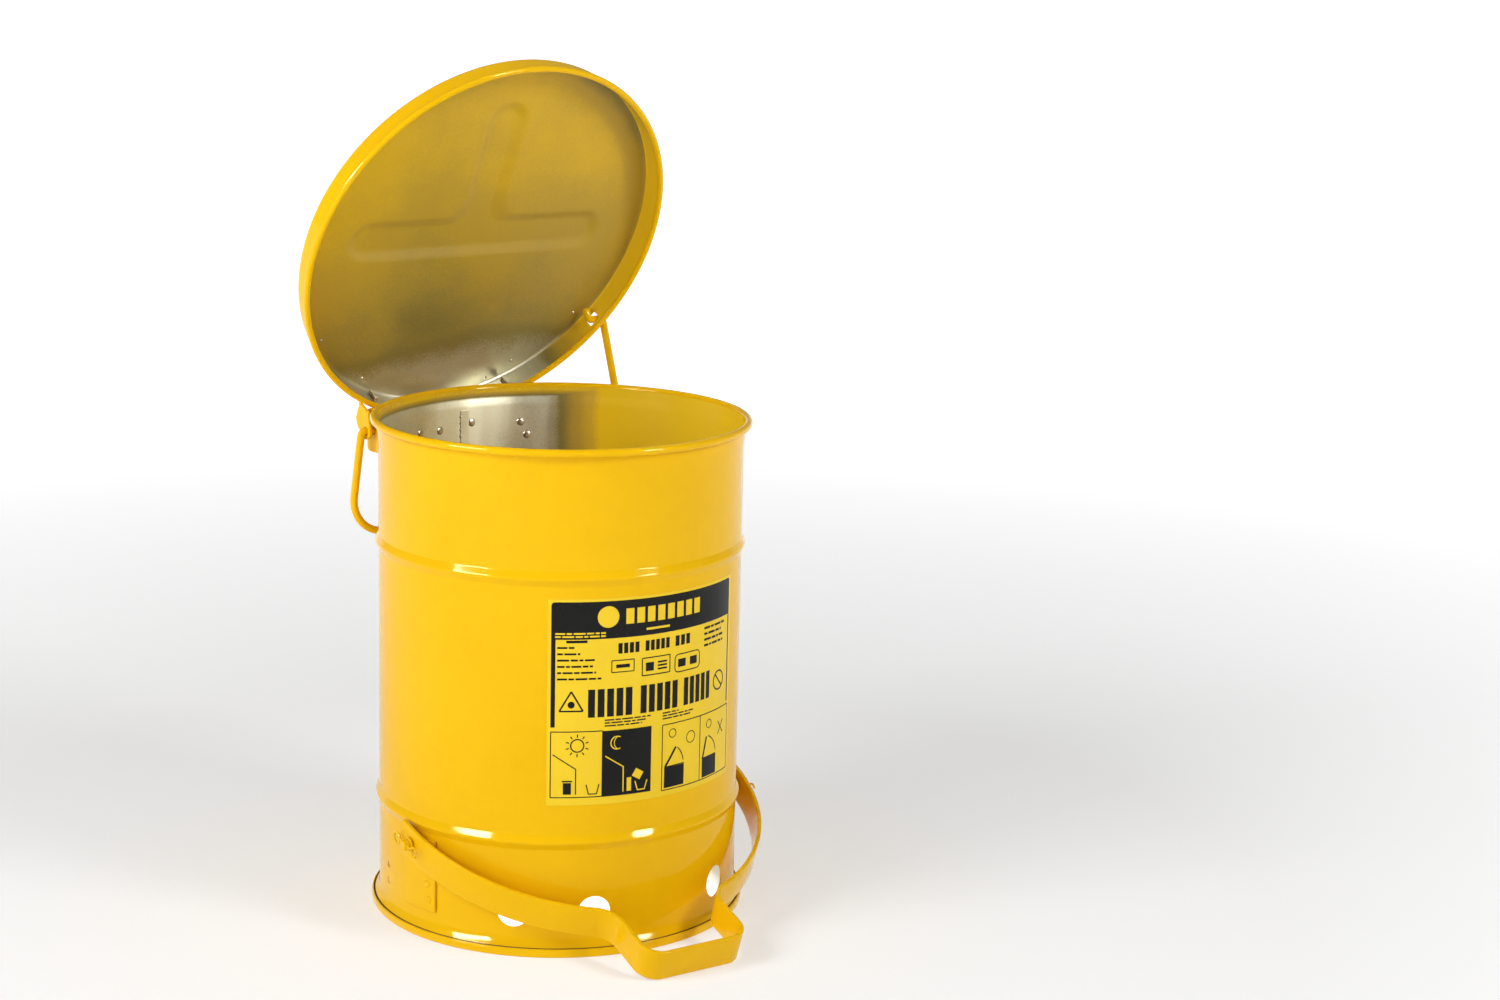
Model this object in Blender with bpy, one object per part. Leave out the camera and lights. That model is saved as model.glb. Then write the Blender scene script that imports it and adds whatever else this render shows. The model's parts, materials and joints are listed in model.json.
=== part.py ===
"""Oily waste can: a foot-operated steel can with a hinged self-closing lid.

Frame: +Z up, floor at Z = 0, pedal towards -Y, hinge towards +Y, lift rod on
the +X side. The can's own axis stands at (AXIS_X, AXIS_Y), so that the origin
is the bottom centre of the whole object's box. Rest pose: pedal pressed to
the floor and lid open.
"""

import bmesh
import bpy
from math import acos, asin, atan2, cos, degrees, hypot, pi, radians, sin, sqrt
from mathutils import Matrix, Vector

MM = 0.001
GAP = 0.3 * MM

# Place of the can's axis, which centres the object's box on the origin.
AXIS_X = -3.2 * MM
AXIS_Y = 12.9 * MM

# Can body
TURN = 64
BODY_R = 144.6 * MM
SHEET = 1.0 * MM
RIM_R = 147.8 * MM
RIM_Z = 394.6 * MM
RIM_WIRE = 3.2 * MM
CHIME_R = 150.8 * MM
CHIME_H = 7.0 * MM
LOW_BEAD_Z = 91.0 * MM
TOP_BEAD_Z = 298.0 * MM
BEAD_HIGH = 2.4 * MM
PAN_Z = 93.0 * MM
VENT_R = 12.7 * MM
VENT_Z = 34.5 * MM
VENT_AZIMUTHS = (-139.2, -114.2, -65.8, -40.8, 65.0, 90.0, 115.0)
DRAIN_R = 3.0 * MM
DRAIN_AZIMUTH = 166.4
DRAIN_HEIGHTS = (28.2 * MM, 41.3 * MM)

# Lid, drawn closed about the can's axis
LID_OPEN = radians(63.75)
HINGE_Y = 164.6 * MM
HINGE_Z = 365.3 * MM
LIP_R = 164.3 * MM
LIP_Z = 378.8 * MM
LIP_WIRE = 2.5 * MM
FLANGE_R = 162.9 * MM
LID_SHEET = 0.9 * MM
PANEL_Z = 399.1 * MM
LID_CORNER = 4.0 * MM
TEE_HIGH = 4.0 * MM
TEE_SLOPE = 4.0 * MM
TEE_BAR_X = 121.5 * MM
TEE_BAR_Y = (-17.0 * MM, 20.0 * MM)
TEE_STEM_HALF = 18.0 * MM
TEE_STEM_END = -123.0 * MM
TAB_SLOT_X = 66.0 * MM
ROD_SLOT = (28.2, 38.6)
ROD_SLOT_Z = (381.5 * MM, 397.9 * MM)

# Hinge plates
EAR_X = 79.5 * MM
BRACKET_X = 72.0 * MM
PLATE = 2.5 * MM
HINGE_HOLE = 3.6 * MM
WEB_Z = (349.0 * MM, 372.0 * MM)

# Bail handle, hanging
WIRE_R = 3.175 * MM
BAIL_X = 84.3 * MM
BAIL_DROP = 85.4 * MM
BAIL_SPLAY = 11.5 * MM
BAIL_BEND = 28.0 * MM
BAIL_END_X = 65.0 * MM

# Pedal strap, in its own plane: X along the pivot axis, -Y to the tread
PEDAL_TURN = radians(-5.0)
PEDAL_TILT = radians(19.0)
PIVOT_BACK = -30.2 * MM
PIVOT_Z = 75.0 * MM
STRAP_T = 3.2 * MM
STRAP_W = 25.4 * MM
NEAR_FACE = -151.0 * MM
FAR_FACE = 158.0 * MM
TREAD_HALF = 44.4 * MM
TREAD_Y = -190.4 * MM
HUG_R = 159.0 * MM
HUG_START = 16.0 * MM
NECK_R = 22.0 * MM
TREAD_BEND = 15.0 * MM
ROD_ARM = 118.9 * MM
ARM_END = 128.0 * MM

# Pivot pins and their fittings
PIN_R = 4.0 * MM
PIN_HOLE = 4.35 * MM
PIN_ROOT = 142.7 * MM
NEAR_PIN_END = -162.0 * MM
FAR_PIN_END = 169.0 * MM
WASHER_R = 6.6 * MM
WASHER_T = 1.2 * MM
COTTER_R = 1.3 * MM
COTTER_INSET = 3.6 * MM
COTTER_LONG = 20.0 * MM
SPACER_R = 8.0 * MM
SPACER_ROOT = 146.4 * MM
SPACER_END = 151.9 * MM
PLATE_Z = (22.0 * MM, 80.5 * MM)
PLATE_HALF_ANGLE = 7.4

# Lift rod, at rest
ROD_X = 163.6 * MM
ROD_TOP = Vector((147.2, 86.5, 385.4)) * MM
ROD_AXIS_TURN = radians(-3.8)
ROD_BEND = 4.0 * MM
ROD_INSIDE = 131.0 * MM
ROD_STUB = 8.0 * MM
ROD_HOOK = 145.0 * MM

# Label panel
LABEL_AZIMUTHS = (-129.2, -58.5)
LABEL_Z = (121.0 * MM, 283.0 * MM)
LABEL_T = 0.3 * MM

YELLOW = (0.80, 0.62, 0.03, 1.0)
ZINC = (0.55, 0.55, 0.55, 1.0)
LEMON = (0.85, 0.68, 0.08, 1.0)


def clear_scene():
    for obj in list(bpy.data.objects):
        bpy.data.objects.remove(obj, do_unlink=True)


def material(name, colour, roughness, metallic):
    made = bpy.data.materials.new(name)
    made.use_nodes = True
    shader = made.node_tree.nodes["Principled BSDF"]
    shader.inputs["Base Color"].default_value = colour
    shader.inputs["Roughness"].default_value = roughness
    shader.inputs["Metallic"].default_value = metallic
    return made


def add_object(name, mesh_data, parent, skin=None):
    obj = bpy.data.objects.new(name, mesh_data)
    bpy.context.scene.collection.objects.link(obj)
    obj.parent = parent
    if skin:
        mesh_data.materials.append(skin)
    return obj


def add_mesh(name, bm, parent, skin=None):
    """An object from a bmesh, with its faces turned outward and smooth shading."""
    bmesh.ops.recalc_face_normals(bm, faces=bm.faces)
    mesh = bpy.data.meshes.new(name)
    bm.to_mesh(mesh)
    bm.free()
    mesh.shade_smooth()
    mesh.set_sharp_from_angle(angle=radians(32))
    return add_object(name, mesh, parent, skin)


def add_empty(name, parent, place, rotation=(0, 0, 0)):
    empty = bpy.data.objects.new(name, None)
    bpy.context.scene.collection.objects.link(empty)
    empty.parent = parent
    empty.location = place
    empty.rotation_euler = rotation
    return empty


def combine(obj, tool, operation):
    """Cuts the tool from the object, or joins it on."""
    tool.hide_render = True
    tool.display_type = "WIRE"
    boolean = obj.modifiers.new(tool.name, "BOOLEAN")
    boolean.operation = operation
    boolean.object = tool
    boolean.solver = "EXACT"


def arc(centre, radius, start, end, steps):
    """Points on an arc in degrees, both ends included."""
    span = [radians(start + (end - start) * i / steps) for i in range(steps + 1)]
    return [(centre[0] + radius * cos(a), centre[1] + radius * sin(a)) for a in span]


def turned(profile, steps=TURN, sweep=(0.0, 360.0)):
    """A closed (r, z) profile turned about Z. Points on the axis are shared."""
    bm = bmesh.new()
    full = sweep[1] - sweep[0] >= 360.0
    count = steps if full else steps + 1
    rings = []
    for i in range(count):
        angle = radians(sweep[0] + (sweep[1] - sweep[0]) * i / steps)
        rings.append([(r * cos(angle), r * sin(angle), z) for r, z in profile])
    on_axis = [r < 1e-9 for r, _ in profile]
    verts = []
    for i, ring in enumerate(rings):
        row = [
            verts[0][j] if on_axis[j] and i else bm.verts.new(point)
            for j, point in enumerate(ring)
        ]
        verts.append(row)
    size = len(profile)
    for i in range(steps):
        a, b = verts[i], verts[(i + 1) % count]
        for j in range(size):
            k = (j + 1) % size
            corners = list(dict.fromkeys((a[j], a[k], b[k], b[j])))
            if len(corners) > 2:
                bm.faces.new(corners)
    if not full:
        bm.faces.new(verts[0])
        bm.faces.new(verts[-1])
    return bm


def prism(outline, low, high, inset=0.0):
    """An outline in X and Y between two heights, its top drawn in by inset."""
    bm = bmesh.new()
    bottom = [bm.verts.new((x, y, low)) for x, y in outline]
    top = [bm.verts.new((x, y, high)) for x, y in shrunk(outline, inset)]
    bm.faces.new(bottom)
    bm.faces.new(top)
    for i in range(len(outline)):
        j = (i + 1) % len(outline)
        bm.faces.new((bottom[i], bottom[j], top[j], top[i]))
    return bm


def shrunk(outline, inset):
    """The outline moved in by inset, taken counterclockwise."""
    made = []
    for i, point in enumerate(outline):
        here = Vector(point)
        before = (here - Vector(outline[i - 1])).normalized()
        after = (Vector(outline[(i + 1) % len(outline)]) - here).normalized()
        left_a = Vector((-before.y, before.x))
        left_b = Vector((-after.y, after.x))
        made.append(tuple(here + (left_a + left_b) * inset / (1 + left_a.dot(left_b))))
    return made


def plate_across_x(outline, x, thick):
    """A flat plate square to X, its outline in (y, z)."""
    bm = prism(outline, x - thick / 2, x + thick / 2)
    bm.transform(Matrix(((0, 0, 1, 0), (1, 0, 0, 0), (0, 1, 0, 0), (0, 0, 0, 1))))
    return bm


def drum(radius, start, end, steps=20):
    """A cylinder along X from start to end, about the X axis."""
    low, high = min(start, end), max(start, end)
    bm = turned([(0.0, low), (radius, low), (radius, high), (0.0, high)], steps)
    bm.transform(Matrix.Rotation(pi / 2, 4, "Y"))
    return bm


def collar(radius, hole, start, end, steps=24):
    """A ring along X from start to end, about the X axis."""
    low, high = min(start, end), max(start, end)
    bm = turned([(hole, low), (radius, low), (radius, high), (hole, high)], steps)
    bm.transform(Matrix.Rotation(pi / 2, 4, "Y"))
    return bm


def band(r_in, r_out, z_low, z_high, azimuths, steps):
    """A curved plate about Z between two azimuths."""
    profile = [(r_in, z_low), (r_out, z_low), (r_out, z_high), (r_in, z_high)]
    return turned(profile, steps, azimuths)


def bent(points, radius, steps=5):
    """A path through the points with each inner corner rounded."""
    path = [points[0]]
    for i in range(1, len(points) - 1):
        here = points[i]
        back = (points[i - 1] - here).normalized()
        ahead = (points[i + 1] - here).normalized()
        half = back.angle(ahead) / 2
        reach = radius / abs(sin(half) / cos(half))
        centre = here + (back + ahead).normalized() * radius / sin(half)
        start = here + back * reach - centre
        axis = start.cross(here + ahead * reach - centre)
        turn = pi - 2 * half
        for j in range(steps + 1):
            path.append(centre + Matrix.Rotation(turn * j / steps, 3, axis) @ start)
    return path + [points[-1]]


def wire(path, radius, sides=10):
    """A round wire along a path, with flat ends."""
    bm = bmesh.new()
    tangents = []
    for i in range(len(path)):
        ahead = path[min(i + 1, len(path) - 1)] - path[i]
        behind = path[i] - path[max(i - 1, 0)]
        tangents.append((ahead.normalized() + behind.normalized()).normalized())
    side = tangents[0].orthogonal().normalized()
    rings = []
    for i, point in enumerate(path):
        if i:
            side = tangents[i - 1].rotation_difference(tangents[i]) @ side
        up = tangents[i].cross(side)
        # A mitred ring keeps the wire's width where the path turns.
        before = (point - path[i - 1]).normalized() if i else tangents[i]
        lean = before.dot(tangents[i])
        bend = tangents[i] - before * lean
        ring = []
        for j in range(sides):
            angle = 2 * pi * j / sides
            offset = (side * cos(angle) + up * sin(angle)) * radius
            if bend.length > 1e-6:
                across = tangents[i].cross(bend).normalized().cross(tangents[i])
                offset += across * offset.dot(across) * (1 / lean - 1)
            ring.append(bm.verts.new(point + offset))
        rings.append(ring)
    for a, b in zip(rings, rings[1:]):
        for j in range(sides):
            k = (j + 1) % sides
            bm.faces.new((a[j], a[k], b[k], b[j]))
    bm.faces.new(rings[0])
    bm.faces.new(rings[-1])
    return bm


def can_profile():
    """Outer side from the chime up, over the rolled rim, and down inside."""
    def bead(z, half):
        return [
            (BODY_R, z - half),
            (BODY_R + 0.6 * BEAD_HIGH, z - 0.45 * half),
            (BODY_R + BEAD_HIGH, z),
            (BODY_R + 0.6 * BEAD_HIGH, z + 0.45 * half),
            (BODY_R, z + half),
        ]

    outer = [
        (CHIME_R - 3.8 * MM, 0.0),
        (CHIME_R - 0.8 * MM, 0.0),
        (CHIME_R, 0.8 * MM),
        (CHIME_R, CHIME_H - 1.0 * MM),
        (CHIME_R - 1.2 * MM, CHIME_H),
        (BODY_R, CHIME_H + 2.0 * MM),
    ]
    outer += bead(LOW_BEAD_Z, 5.0 * MM) + bead(TOP_BEAD_Z, 6.0 * MM)
    outer += [(BODY_R, 381.0 * MM), (BODY_R + SHEET, 386.0 * MM), (BODY_R + SHEET, 391.4 * MM)]
    rim = arc((RIM_R, RIM_Z), RIM_WIRE, -115, 180, 11)
    inner = [
        (BODY_R, 386.0 * MM),
        (BODY_R - SHEET, 381.0 * MM),
        (BODY_R - SHEET, CHIME_H + 1.5 * MM),
        (CHIME_R - 3.8 * MM, 4.0 * MM),
    ]
    return outer + rim + inner


def round_cutter(name, parent, azimuth, z, radius, reach):
    """A drum along the radius at one azimuth, through the can's wall."""
    cutter = add_mesh(name, drum(radius, BODY_R - reach, BODY_R + reach), parent)
    cutter.location = (0, 0, z)
    cutter.rotation_euler = (0, 0, radians(azimuth))
    return cutter


def make_can(root, paint, bare, decal):
    body = add_mesh("can_body", turned(can_profile()), root, paint)
    for i, azimuth in enumerate(VENT_AZIMUTHS):
        vent = round_cutter(f"cut_vent_{i}", root, azimuth, VENT_Z, VENT_R, 9 * MM)
        combine(body, vent, "DIFFERENCE")
    for i, z in enumerate(DRAIN_HEIGHTS):
        hole = round_cutter(f"cut_drain_{i}", root, DRAIN_AZIMUTH, z, DRAIN_R, 4 * MM)
        combine(body, hole, "DIFFERENCE")
    edge = BODY_R - SHEET - GAP
    pan = [
        (0.0, PAN_Z - SHEET),
        (edge - 6 * MM, PAN_Z - SHEET),
        (edge - 4 * MM, PAN_Z - 2 * SHEET),
        (edge - SHEET, PAN_Z - 9 * MM),
        (edge, PAN_Z - 9 * MM),
        (edge, PAN_Z - 2 * SHEET),
        (edge - 2 * MM, PAN_Z),
        (0.0, PAN_Z),
    ]
    add_mesh("bottom_pan", turned(pan), root, bare)
    lap = degrees(5 * MM / BODY_R)
    seam = band(edge - SHEET, edge, PAN_Z + 2 * MM, 379 * MM, (90 - lap, 90 + lap), 3)
    add_mesh("side_seam_strip", seam, root, bare)
    label = band(BODY_R + GAP, BODY_R + GAP + LABEL_T, *LABEL_Z, LABEL_AZIMUTHS, 24)
    add_mesh("label_panel", label, root, decal)


def bracket_outline():
    """Side plate of the can's hinge bracket, in (y, z), from the wall rearward."""
    wall = sqrt(BODY_R**2 - BRACKET_X**2) + 1.5 * MM
    rear = 174.0 * MM
    low, under_lip = 347.0 * MM, 374.3 * MM
    reach = 18.5 * MM
    top = degrees(acos((rear - HINGE_Y) / reach))
    crest = arc((HINGE_Y, HINGE_Z), reach, top, 150.0, 8)
    corner = arc((rear - 4 * MM, low + 4 * MM), 4 * MM, -90, 0, 3)
    return [(wall, low)] + corner + crest + [(wall, under_lip)]


def make_hinge_bracket(root, skin):
    half = degrees(asin(BRACKET_X / (BODY_R + GAP + PLATE)))
    web = band(BODY_R + GAP, BODY_R + GAP + PLATE, *WEB_Z, (90 - half, 90 + half), 10)
    bracket = add_mesh("hinge_bracket", web, root, skin)
    for side, tag in ((-1, "near"), (1, "far")):
        plate = plate_across_x(bracket_outline(), side * BRACKET_X, PLATE)
        ear = add_mesh(f"join_bracket_{tag}", plate, root)
        combine(bracket, ear, "UNION")
        hole = add_mesh(f"cut_bracket_{tag}", drum(HINGE_HOLE, -4 * MM, 4 * MM, 24), root)
        hole.location = (side * BRACKET_X, HINGE_Y, HINGE_Z)
        combine(bracket, hole, "DIFFERENCE")


def lid_profile():
    """Closed lid: panel, corner, flange and rolled lip, then back inside."""
    corner = (FLANGE_R - LID_CORNER, PANEL_Z - LID_CORNER)
    outer = [(0.0, PANEL_Z)] + arc(corner, LID_CORNER, 90, 0, 4)
    lip = arc((LIP_R, LIP_Z), LIP_WIRE, 124, -200, 12)
    inside = arc(corner, LID_CORNER - LID_SHEET, 0, 90, 3)
    return outer + lip + inside + [(0.0, PANEL_Z - LID_SHEET)]


def tee_outline(grow):
    """The stiffening T, counterclockwise, its bar to the hinge and its stem forward."""
    bar = TEE_BAR_X + grow
    stem = TEE_STEM_HALF + grow
    low, high = TEE_BAR_Y[0] - grow, TEE_BAR_Y[1] + grow
    foot = TEE_STEM_END - grow
    cut, fillet = 7 * MM, 9 * MM
    right = [
        (stem - cut, foot),
        (stem, foot + cut),
        (stem, low - fillet),
        (stem + fillet * 0.3, low - fillet * 0.3),
        (stem + fillet, low),
        (bar - cut, low),
        (bar, low + cut),
        (bar, high - cut),
        (bar - cut, high),
    ]
    return right + [(-x, y) for x, y in reversed(right)]


def ear_outline():
    """Lid hinge ear in (y, z), round the hinge hole and up against the flange."""
    boss = 7.0 * MM
    flange = sqrt(FLANGE_R**2 - (EAR_X - PLATE / 2) ** 2) + 2 * GAP
    lip_top = LIP_Z + LIP_WIRE + GAP
    round_hole = arc((HINGE_Y, HINGE_Z), boss, -125, 40, 8)
    return (
        [(148.3 * MM, 369 * MM)]
        + round_hole
        + [
            (168.0 * MM, 377.0 * MM),
            (162.8 * MM, 383.1 * MM),
            (150.6 * MM, 383.1 * MM),
            (147.4 * MM, 386.0 * MM),
            (147.4 * MM, 393.0 * MM),
            (flange, 394.0 * MM),
            (flange, lip_top),
            (148.3 * MM, lip_top),
        ]
    )


def make_lid(hinge, paint):
    """The lid, drawn closed in the can's frame and hung from its hinge axis."""
    to_axis = Matrix.Translation((0, -HINGE_Y, -HINGE_Z))

    def piece(name, bm, skin=None):
        bm.transform(to_axis)
        return add_mesh(name, bm, hinge, skin)

    lid = piece("lid_shell", turned(lid_profile()), paint)
    raised = prism(tee_outline(0.0), PANEL_Z - 0.4 * MM, PANEL_Z + TEE_HIGH, TEE_SLOPE)
    combine(lid, piece("join_tee", raised), "UNION")
    under = PANEL_Z - LID_SHEET
    sunk = prism(tee_outline(-LID_SHEET), under - 1 * MM, under + TEE_HIGH, TEE_SLOPE)
    combine(lid, piece("cut_tee", sunk), "DIFFERENCE")
    slot = band(FLANGE_R - 4 * MM, FLANGE_R + 4 * MM, *ROD_SLOT_Z, ROD_SLOT, 4)
    combine(lid, piece("cut_rod_slot", slot), "DIFFERENCE")
    for side, tag in ((-1, "near"), (1, "far")):
        tab_y = sqrt(FLANGE_R**2 - TAB_SLOT_X**2)
        tab = [(tab_y - 5 * MM, 382.2 * MM), (tab_y + 2 * MM, 382.2 * MM)]
        tab += [(tab_y + 2 * MM, 393.8 * MM), (tab_y - 5 * MM, 393.8 * MM)]
        opening = shrunk(tab, -2 * GAP)
        x = side * TAB_SLOT_X
        hole = piece(f"cut_tab_{tag}", plate_across_x(opening, x, PLATE + 2 * GAP))
        combine(lid, hole, "DIFFERENCE")
        # Ear plate, the foot along the flange and the tab through the slot.
        ends = [90 - side * degrees(asin(e / (FLANGE_R + GAP))) for e in (EAR_X, TAB_SLOT_X)]
        foot = band(
            FLANGE_R + GAP, FLANGE_R + GAP + PLATE, 382.2 * MM, 393.8 * MM, sorted(ends), 2
        )
        ear = piece(f"lid_ear_{tag}", plate_across_x(ear_outline(), side * EAR_X, PLATE), paint)
        combine(ear, piece(f"join_foot_{tag}", foot), "UNION")
        combine(ear, piece(f"join_tab_{tag}", plate_across_x(tab, x, PLATE)), "UNION")
        bore = add_mesh(f"cut_ear_{tag}", drum(HINGE_HOLE, -4 * MM, 4 * MM, 24), hinge)
        bore.location = (side * EAR_X, 0, 0)
        combine(ear, bore, "DIFFERENCE")


def make_bail(swing, paint):
    """The bail, whose turned-in ends are the hinge pins of the lid."""
    low = -BAIL_DROP
    foot = BAIL_X + BAIL_SPLAY
    corners = [
        Vector((-BAIL_END_X, 0, 0)),
        Vector((-BAIL_X, 0, 0)),
        Vector((-foot, 0, low)),
        Vector((foot, 0, low)),
        Vector((BAIL_X, 0, 0)),
        Vector((BAIL_END_X, 0, 0)),
    ]
    shoulder = 4.2 * MM
    near = bent(corners[:3], shoulder)[:-1]
    round_low = bent(corners[1:5], BAIL_BEND, 6)[1:-1]
    far = bent(corners[3:], shoulder)[1:]
    add_mesh("bail_handle", wire(near + round_low + far, WIRE_R, 12), swing, paint)
    for side, tag in ((-1, "near"), (1, "far")):
        inner = side * (BRACKET_X - PLATE / 2 - 2 * GAP)
        nut = collar(6.5 * MM, WIRE_R + GAP, inner, inner - side * 1.2 * MM)
        add_mesh(f"bail_retainer_{tag}", nut, swing, paint)


def strap_path():
    """Centreline of the strap, from the near arm's end round the tread to the far arm's."""
    near_x = NEAR_FACE + STRAP_T / 2
    far_x = FAR_FACE - STRAP_T / 2
    both = HUG_R + NECK_R
    near_angle = degrees(acos(1 - (-TREAD_HALF - near_x) / both))
    far_angle = degrees(acos(1 - (far_x - TREAD_HALF) / both))
    near_leg = HUG_START - both * sin(radians(near_angle))
    far_leg = HUG_START - both * sin(radians(far_angle))
    corner = TREAD_HALF - TREAD_BEND
    path = arc((near_x + HUG_R, HUG_START), HUG_R, 180, 180 + near_angle, 11)
    path += arc((-TREAD_HALF - NECK_R, near_leg), NECK_R, near_angle, 0, 7)
    path += arc((-corner, TREAD_Y + TREAD_BEND), TREAD_BEND, 180, 270, 6)
    path += arc((corner, TREAD_Y + TREAD_BEND), TREAD_BEND, 270, 360, 6)
    path += arc((TREAD_HALF + NECK_R, far_leg), NECK_R, 180, 180 - far_angle, 7)
    path += arc((far_x - HUG_R, HUG_START), HUG_R, -far_angle, 0, 12)
    tidy = [path[0]]
    for point in path[1:] + [(far_x, ARM_END)]:
        if hypot(point[0] - tidy[-1][0], point[1] - tidy[-1][1]) > 0.05 * MM:
            tidy.append(point)
    return tidy


def strap_mesh():
    """The strap on edge: its path thickened sideways and raised to its width."""
    path = [Vector(point) for point in strap_path()]
    left, right = [], []
    for i, here in enumerate(path):
        ahead = (path[min(i + 1, len(path) - 1)] - here).normalized()
        behind = (here - path[max(i - 1, 0)]).normalized()
        if i == 0:
            behind = ahead
        if i == len(path) - 1:
            ahead = behind
        normal_a = Vector((-behind.y, behind.x))
        normal_b = Vector((-ahead.y, ahead.x))
        offset = (normal_a + normal_b) * (STRAP_T / 2) / (1 + normal_a.dot(normal_b))
        left.append(here + offset)
        right.append(here - offset)
    bm = bmesh.new()
    rings = []
    for a, b in zip(left, right):
        corners = ((a, -1), (b, -1), (b, 1), (a, 1))
        rings.append([bm.verts.new((p.x, p.y, s * STRAP_W / 2)) for p, s in corners])
    for a, b in zip(rings, rings[1:]):
        for j in range(4):
            k = (j + 1) % 4
            bm.faces.new((a[j], a[k], b[k], b[j]))
    bm.faces.new(rings[0])
    bm.faces.new(rings[-1])
    return bm


def make_pedal(pedal, skin):
    strap = add_mesh("pedal_strap", strap_mesh(), pedal, skin)
    for tag, x, y in (("near", NEAR_FACE, 0), ("far", FAR_FACE, 0), ("rod", FAR_FACE, ROD_ARM)):
        hole = add_mesh(f"cut_strap_{tag}", drum(PIN_HOLE, -8 * MM, 8 * MM, 24), pedal)
        hole.location = (x, y, 0)
        combine(strap, hole, "DIFFERENCE")


def cotter_path(side):
    """A split pin along Y about the X axis: eye, shank and one bent leg."""
    eye = 3.6 * MM
    shank = COTTER_LONG / 2
    loop = [
        Vector((0, -shank - eye + eye * cos(a), eye * sin(a)))
        for a in [radians(200 - 20 * i) for i in range(10)]
    ]
    leg = [Vector((0, shank - 4 * MM, 0)), Vector((side * 5 * MM, shank + 1 * MM, 0))]
    return loop + [Vector((0, -shank + 2.5 * MM, 0))] + leg


def make_pivot(pivot, root, tag, side, face, end, paint):
    """One pivot: bracket plate on the skirt, pin, washer and split pin."""
    azimuth = degrees(atan2(*reversed(pivot_point(side * BODY_R)[:2])))
    spread = (azimuth - PLATE_HALF_ANGLE, azimuth + PLATE_HALF_ANGLE)
    inner = BODY_R + GAP
    plate = add_mesh(
        f"pivot_bracket_{tag}", band(inner, inner + PLATE, *PLATE_Z, spread, 5), root, paint
    )
    bore = add_mesh(f"cut_plate_{tag}", drum(PIN_HOLE, side * 135 * MM, side * 155 * MM), pivot)
    combine(plate, bore, "DIFFERENCE")
    pin = add_mesh(f"pivot_pin_{tag}", drum(PIN_R, side * PIN_ROOT, end), pivot, paint)
    cross = end - side * COTTER_INSET
    eye_hole = add_mesh(f"cut_pin_{tag}", drum(COTTER_R + GAP, -6 * MM, 6 * MM, 16), pivot)
    eye_hole.location = (cross, 0, 0)
    eye_hole.rotation_euler = (0, 0, pi / 2)
    combine(pin, eye_hole, "DIFFERENCE")
    start = face + side * GAP
    washer = collar(WASHER_R, PIN_HOLE, start, start + side * WASHER_T)
    add_mesh(f"pivot_washer_{tag}", washer, pivot, paint)
    cotter = add_mesh(f"split_pin_{tag}", wire(cotter_path(side), COTTER_R, 8), pivot, paint)
    cotter.location = (cross, 0, 0)


def pivot_point(x):
    """A point on the pedal's pivot axis, x along it, in the can's frame."""
    along = Vector((cos(PEDAL_TURN), sin(PEDAL_TURN), 0))
    back = Vector((-sin(PEDAL_TURN), cos(PEDAL_TURN), 0))
    return along * x + back * PIVOT_BACK + Vector((0, 0, PIVOT_Z))


def opened(point):
    """A point of the closed lid, moved with the lid to its open place."""
    axis = Vector((0, HINGE_Y, HINGE_Z))
    return Matrix.Rotation(-LID_OPEN, 3, "X") @ (point - axis) + axis


def make_rod(root, pedal_matrix, paint):
    """The lift rod, hooked through the strap below and through the lid above."""
    foot = pedal_matrix @ Vector((ROD_X, ROD_ARM, 0))
    hook = foot + pivot_point(ROD_HOOK) - pivot_point(ROD_X)
    head = opened(ROD_TOP)
    leg = (head - foot).normalized()
    inside = head - Vector((ROD_TOP.x - ROD_INSIDE, 0, 0))
    corners = [hook, foot, head, inside, inside + leg * ROD_STUB]
    joint = add_empty("rod_axis", root, foot, (0, 0, ROD_AXIS_TURN))
    to_joint = Matrix.Rotation(-ROD_AXIS_TURN, 3, "Z")
    path = [to_joint @ (p - foot) for p in bent(corners, ROD_BEND)]
    add_mesh("lift_rod", wire(path, WIRE_R, 12), joint, paint)
    along = (hook - foot).normalized()
    inside_face = ROD_X - FAR_FACE + STRAP_T
    for name, reach, radius, thick in (
        ("rod_washer", inside_face + 2 * GAP, WASHER_R, WASHER_T),
        ("rod_retainer", inside_face + WASHER_T + 1 * MM, 6 * MM, 1.2 * MM),
    ):
        ring = add_mesh(name, collar(radius, WIRE_R + GAP, 0, thick), joint, paint)
        ring.location = to_joint @ (along * reach)
        ring.rotation_euler = (0, 0, pi + PEDAL_TURN - ROD_AXIS_TURN)


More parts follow.
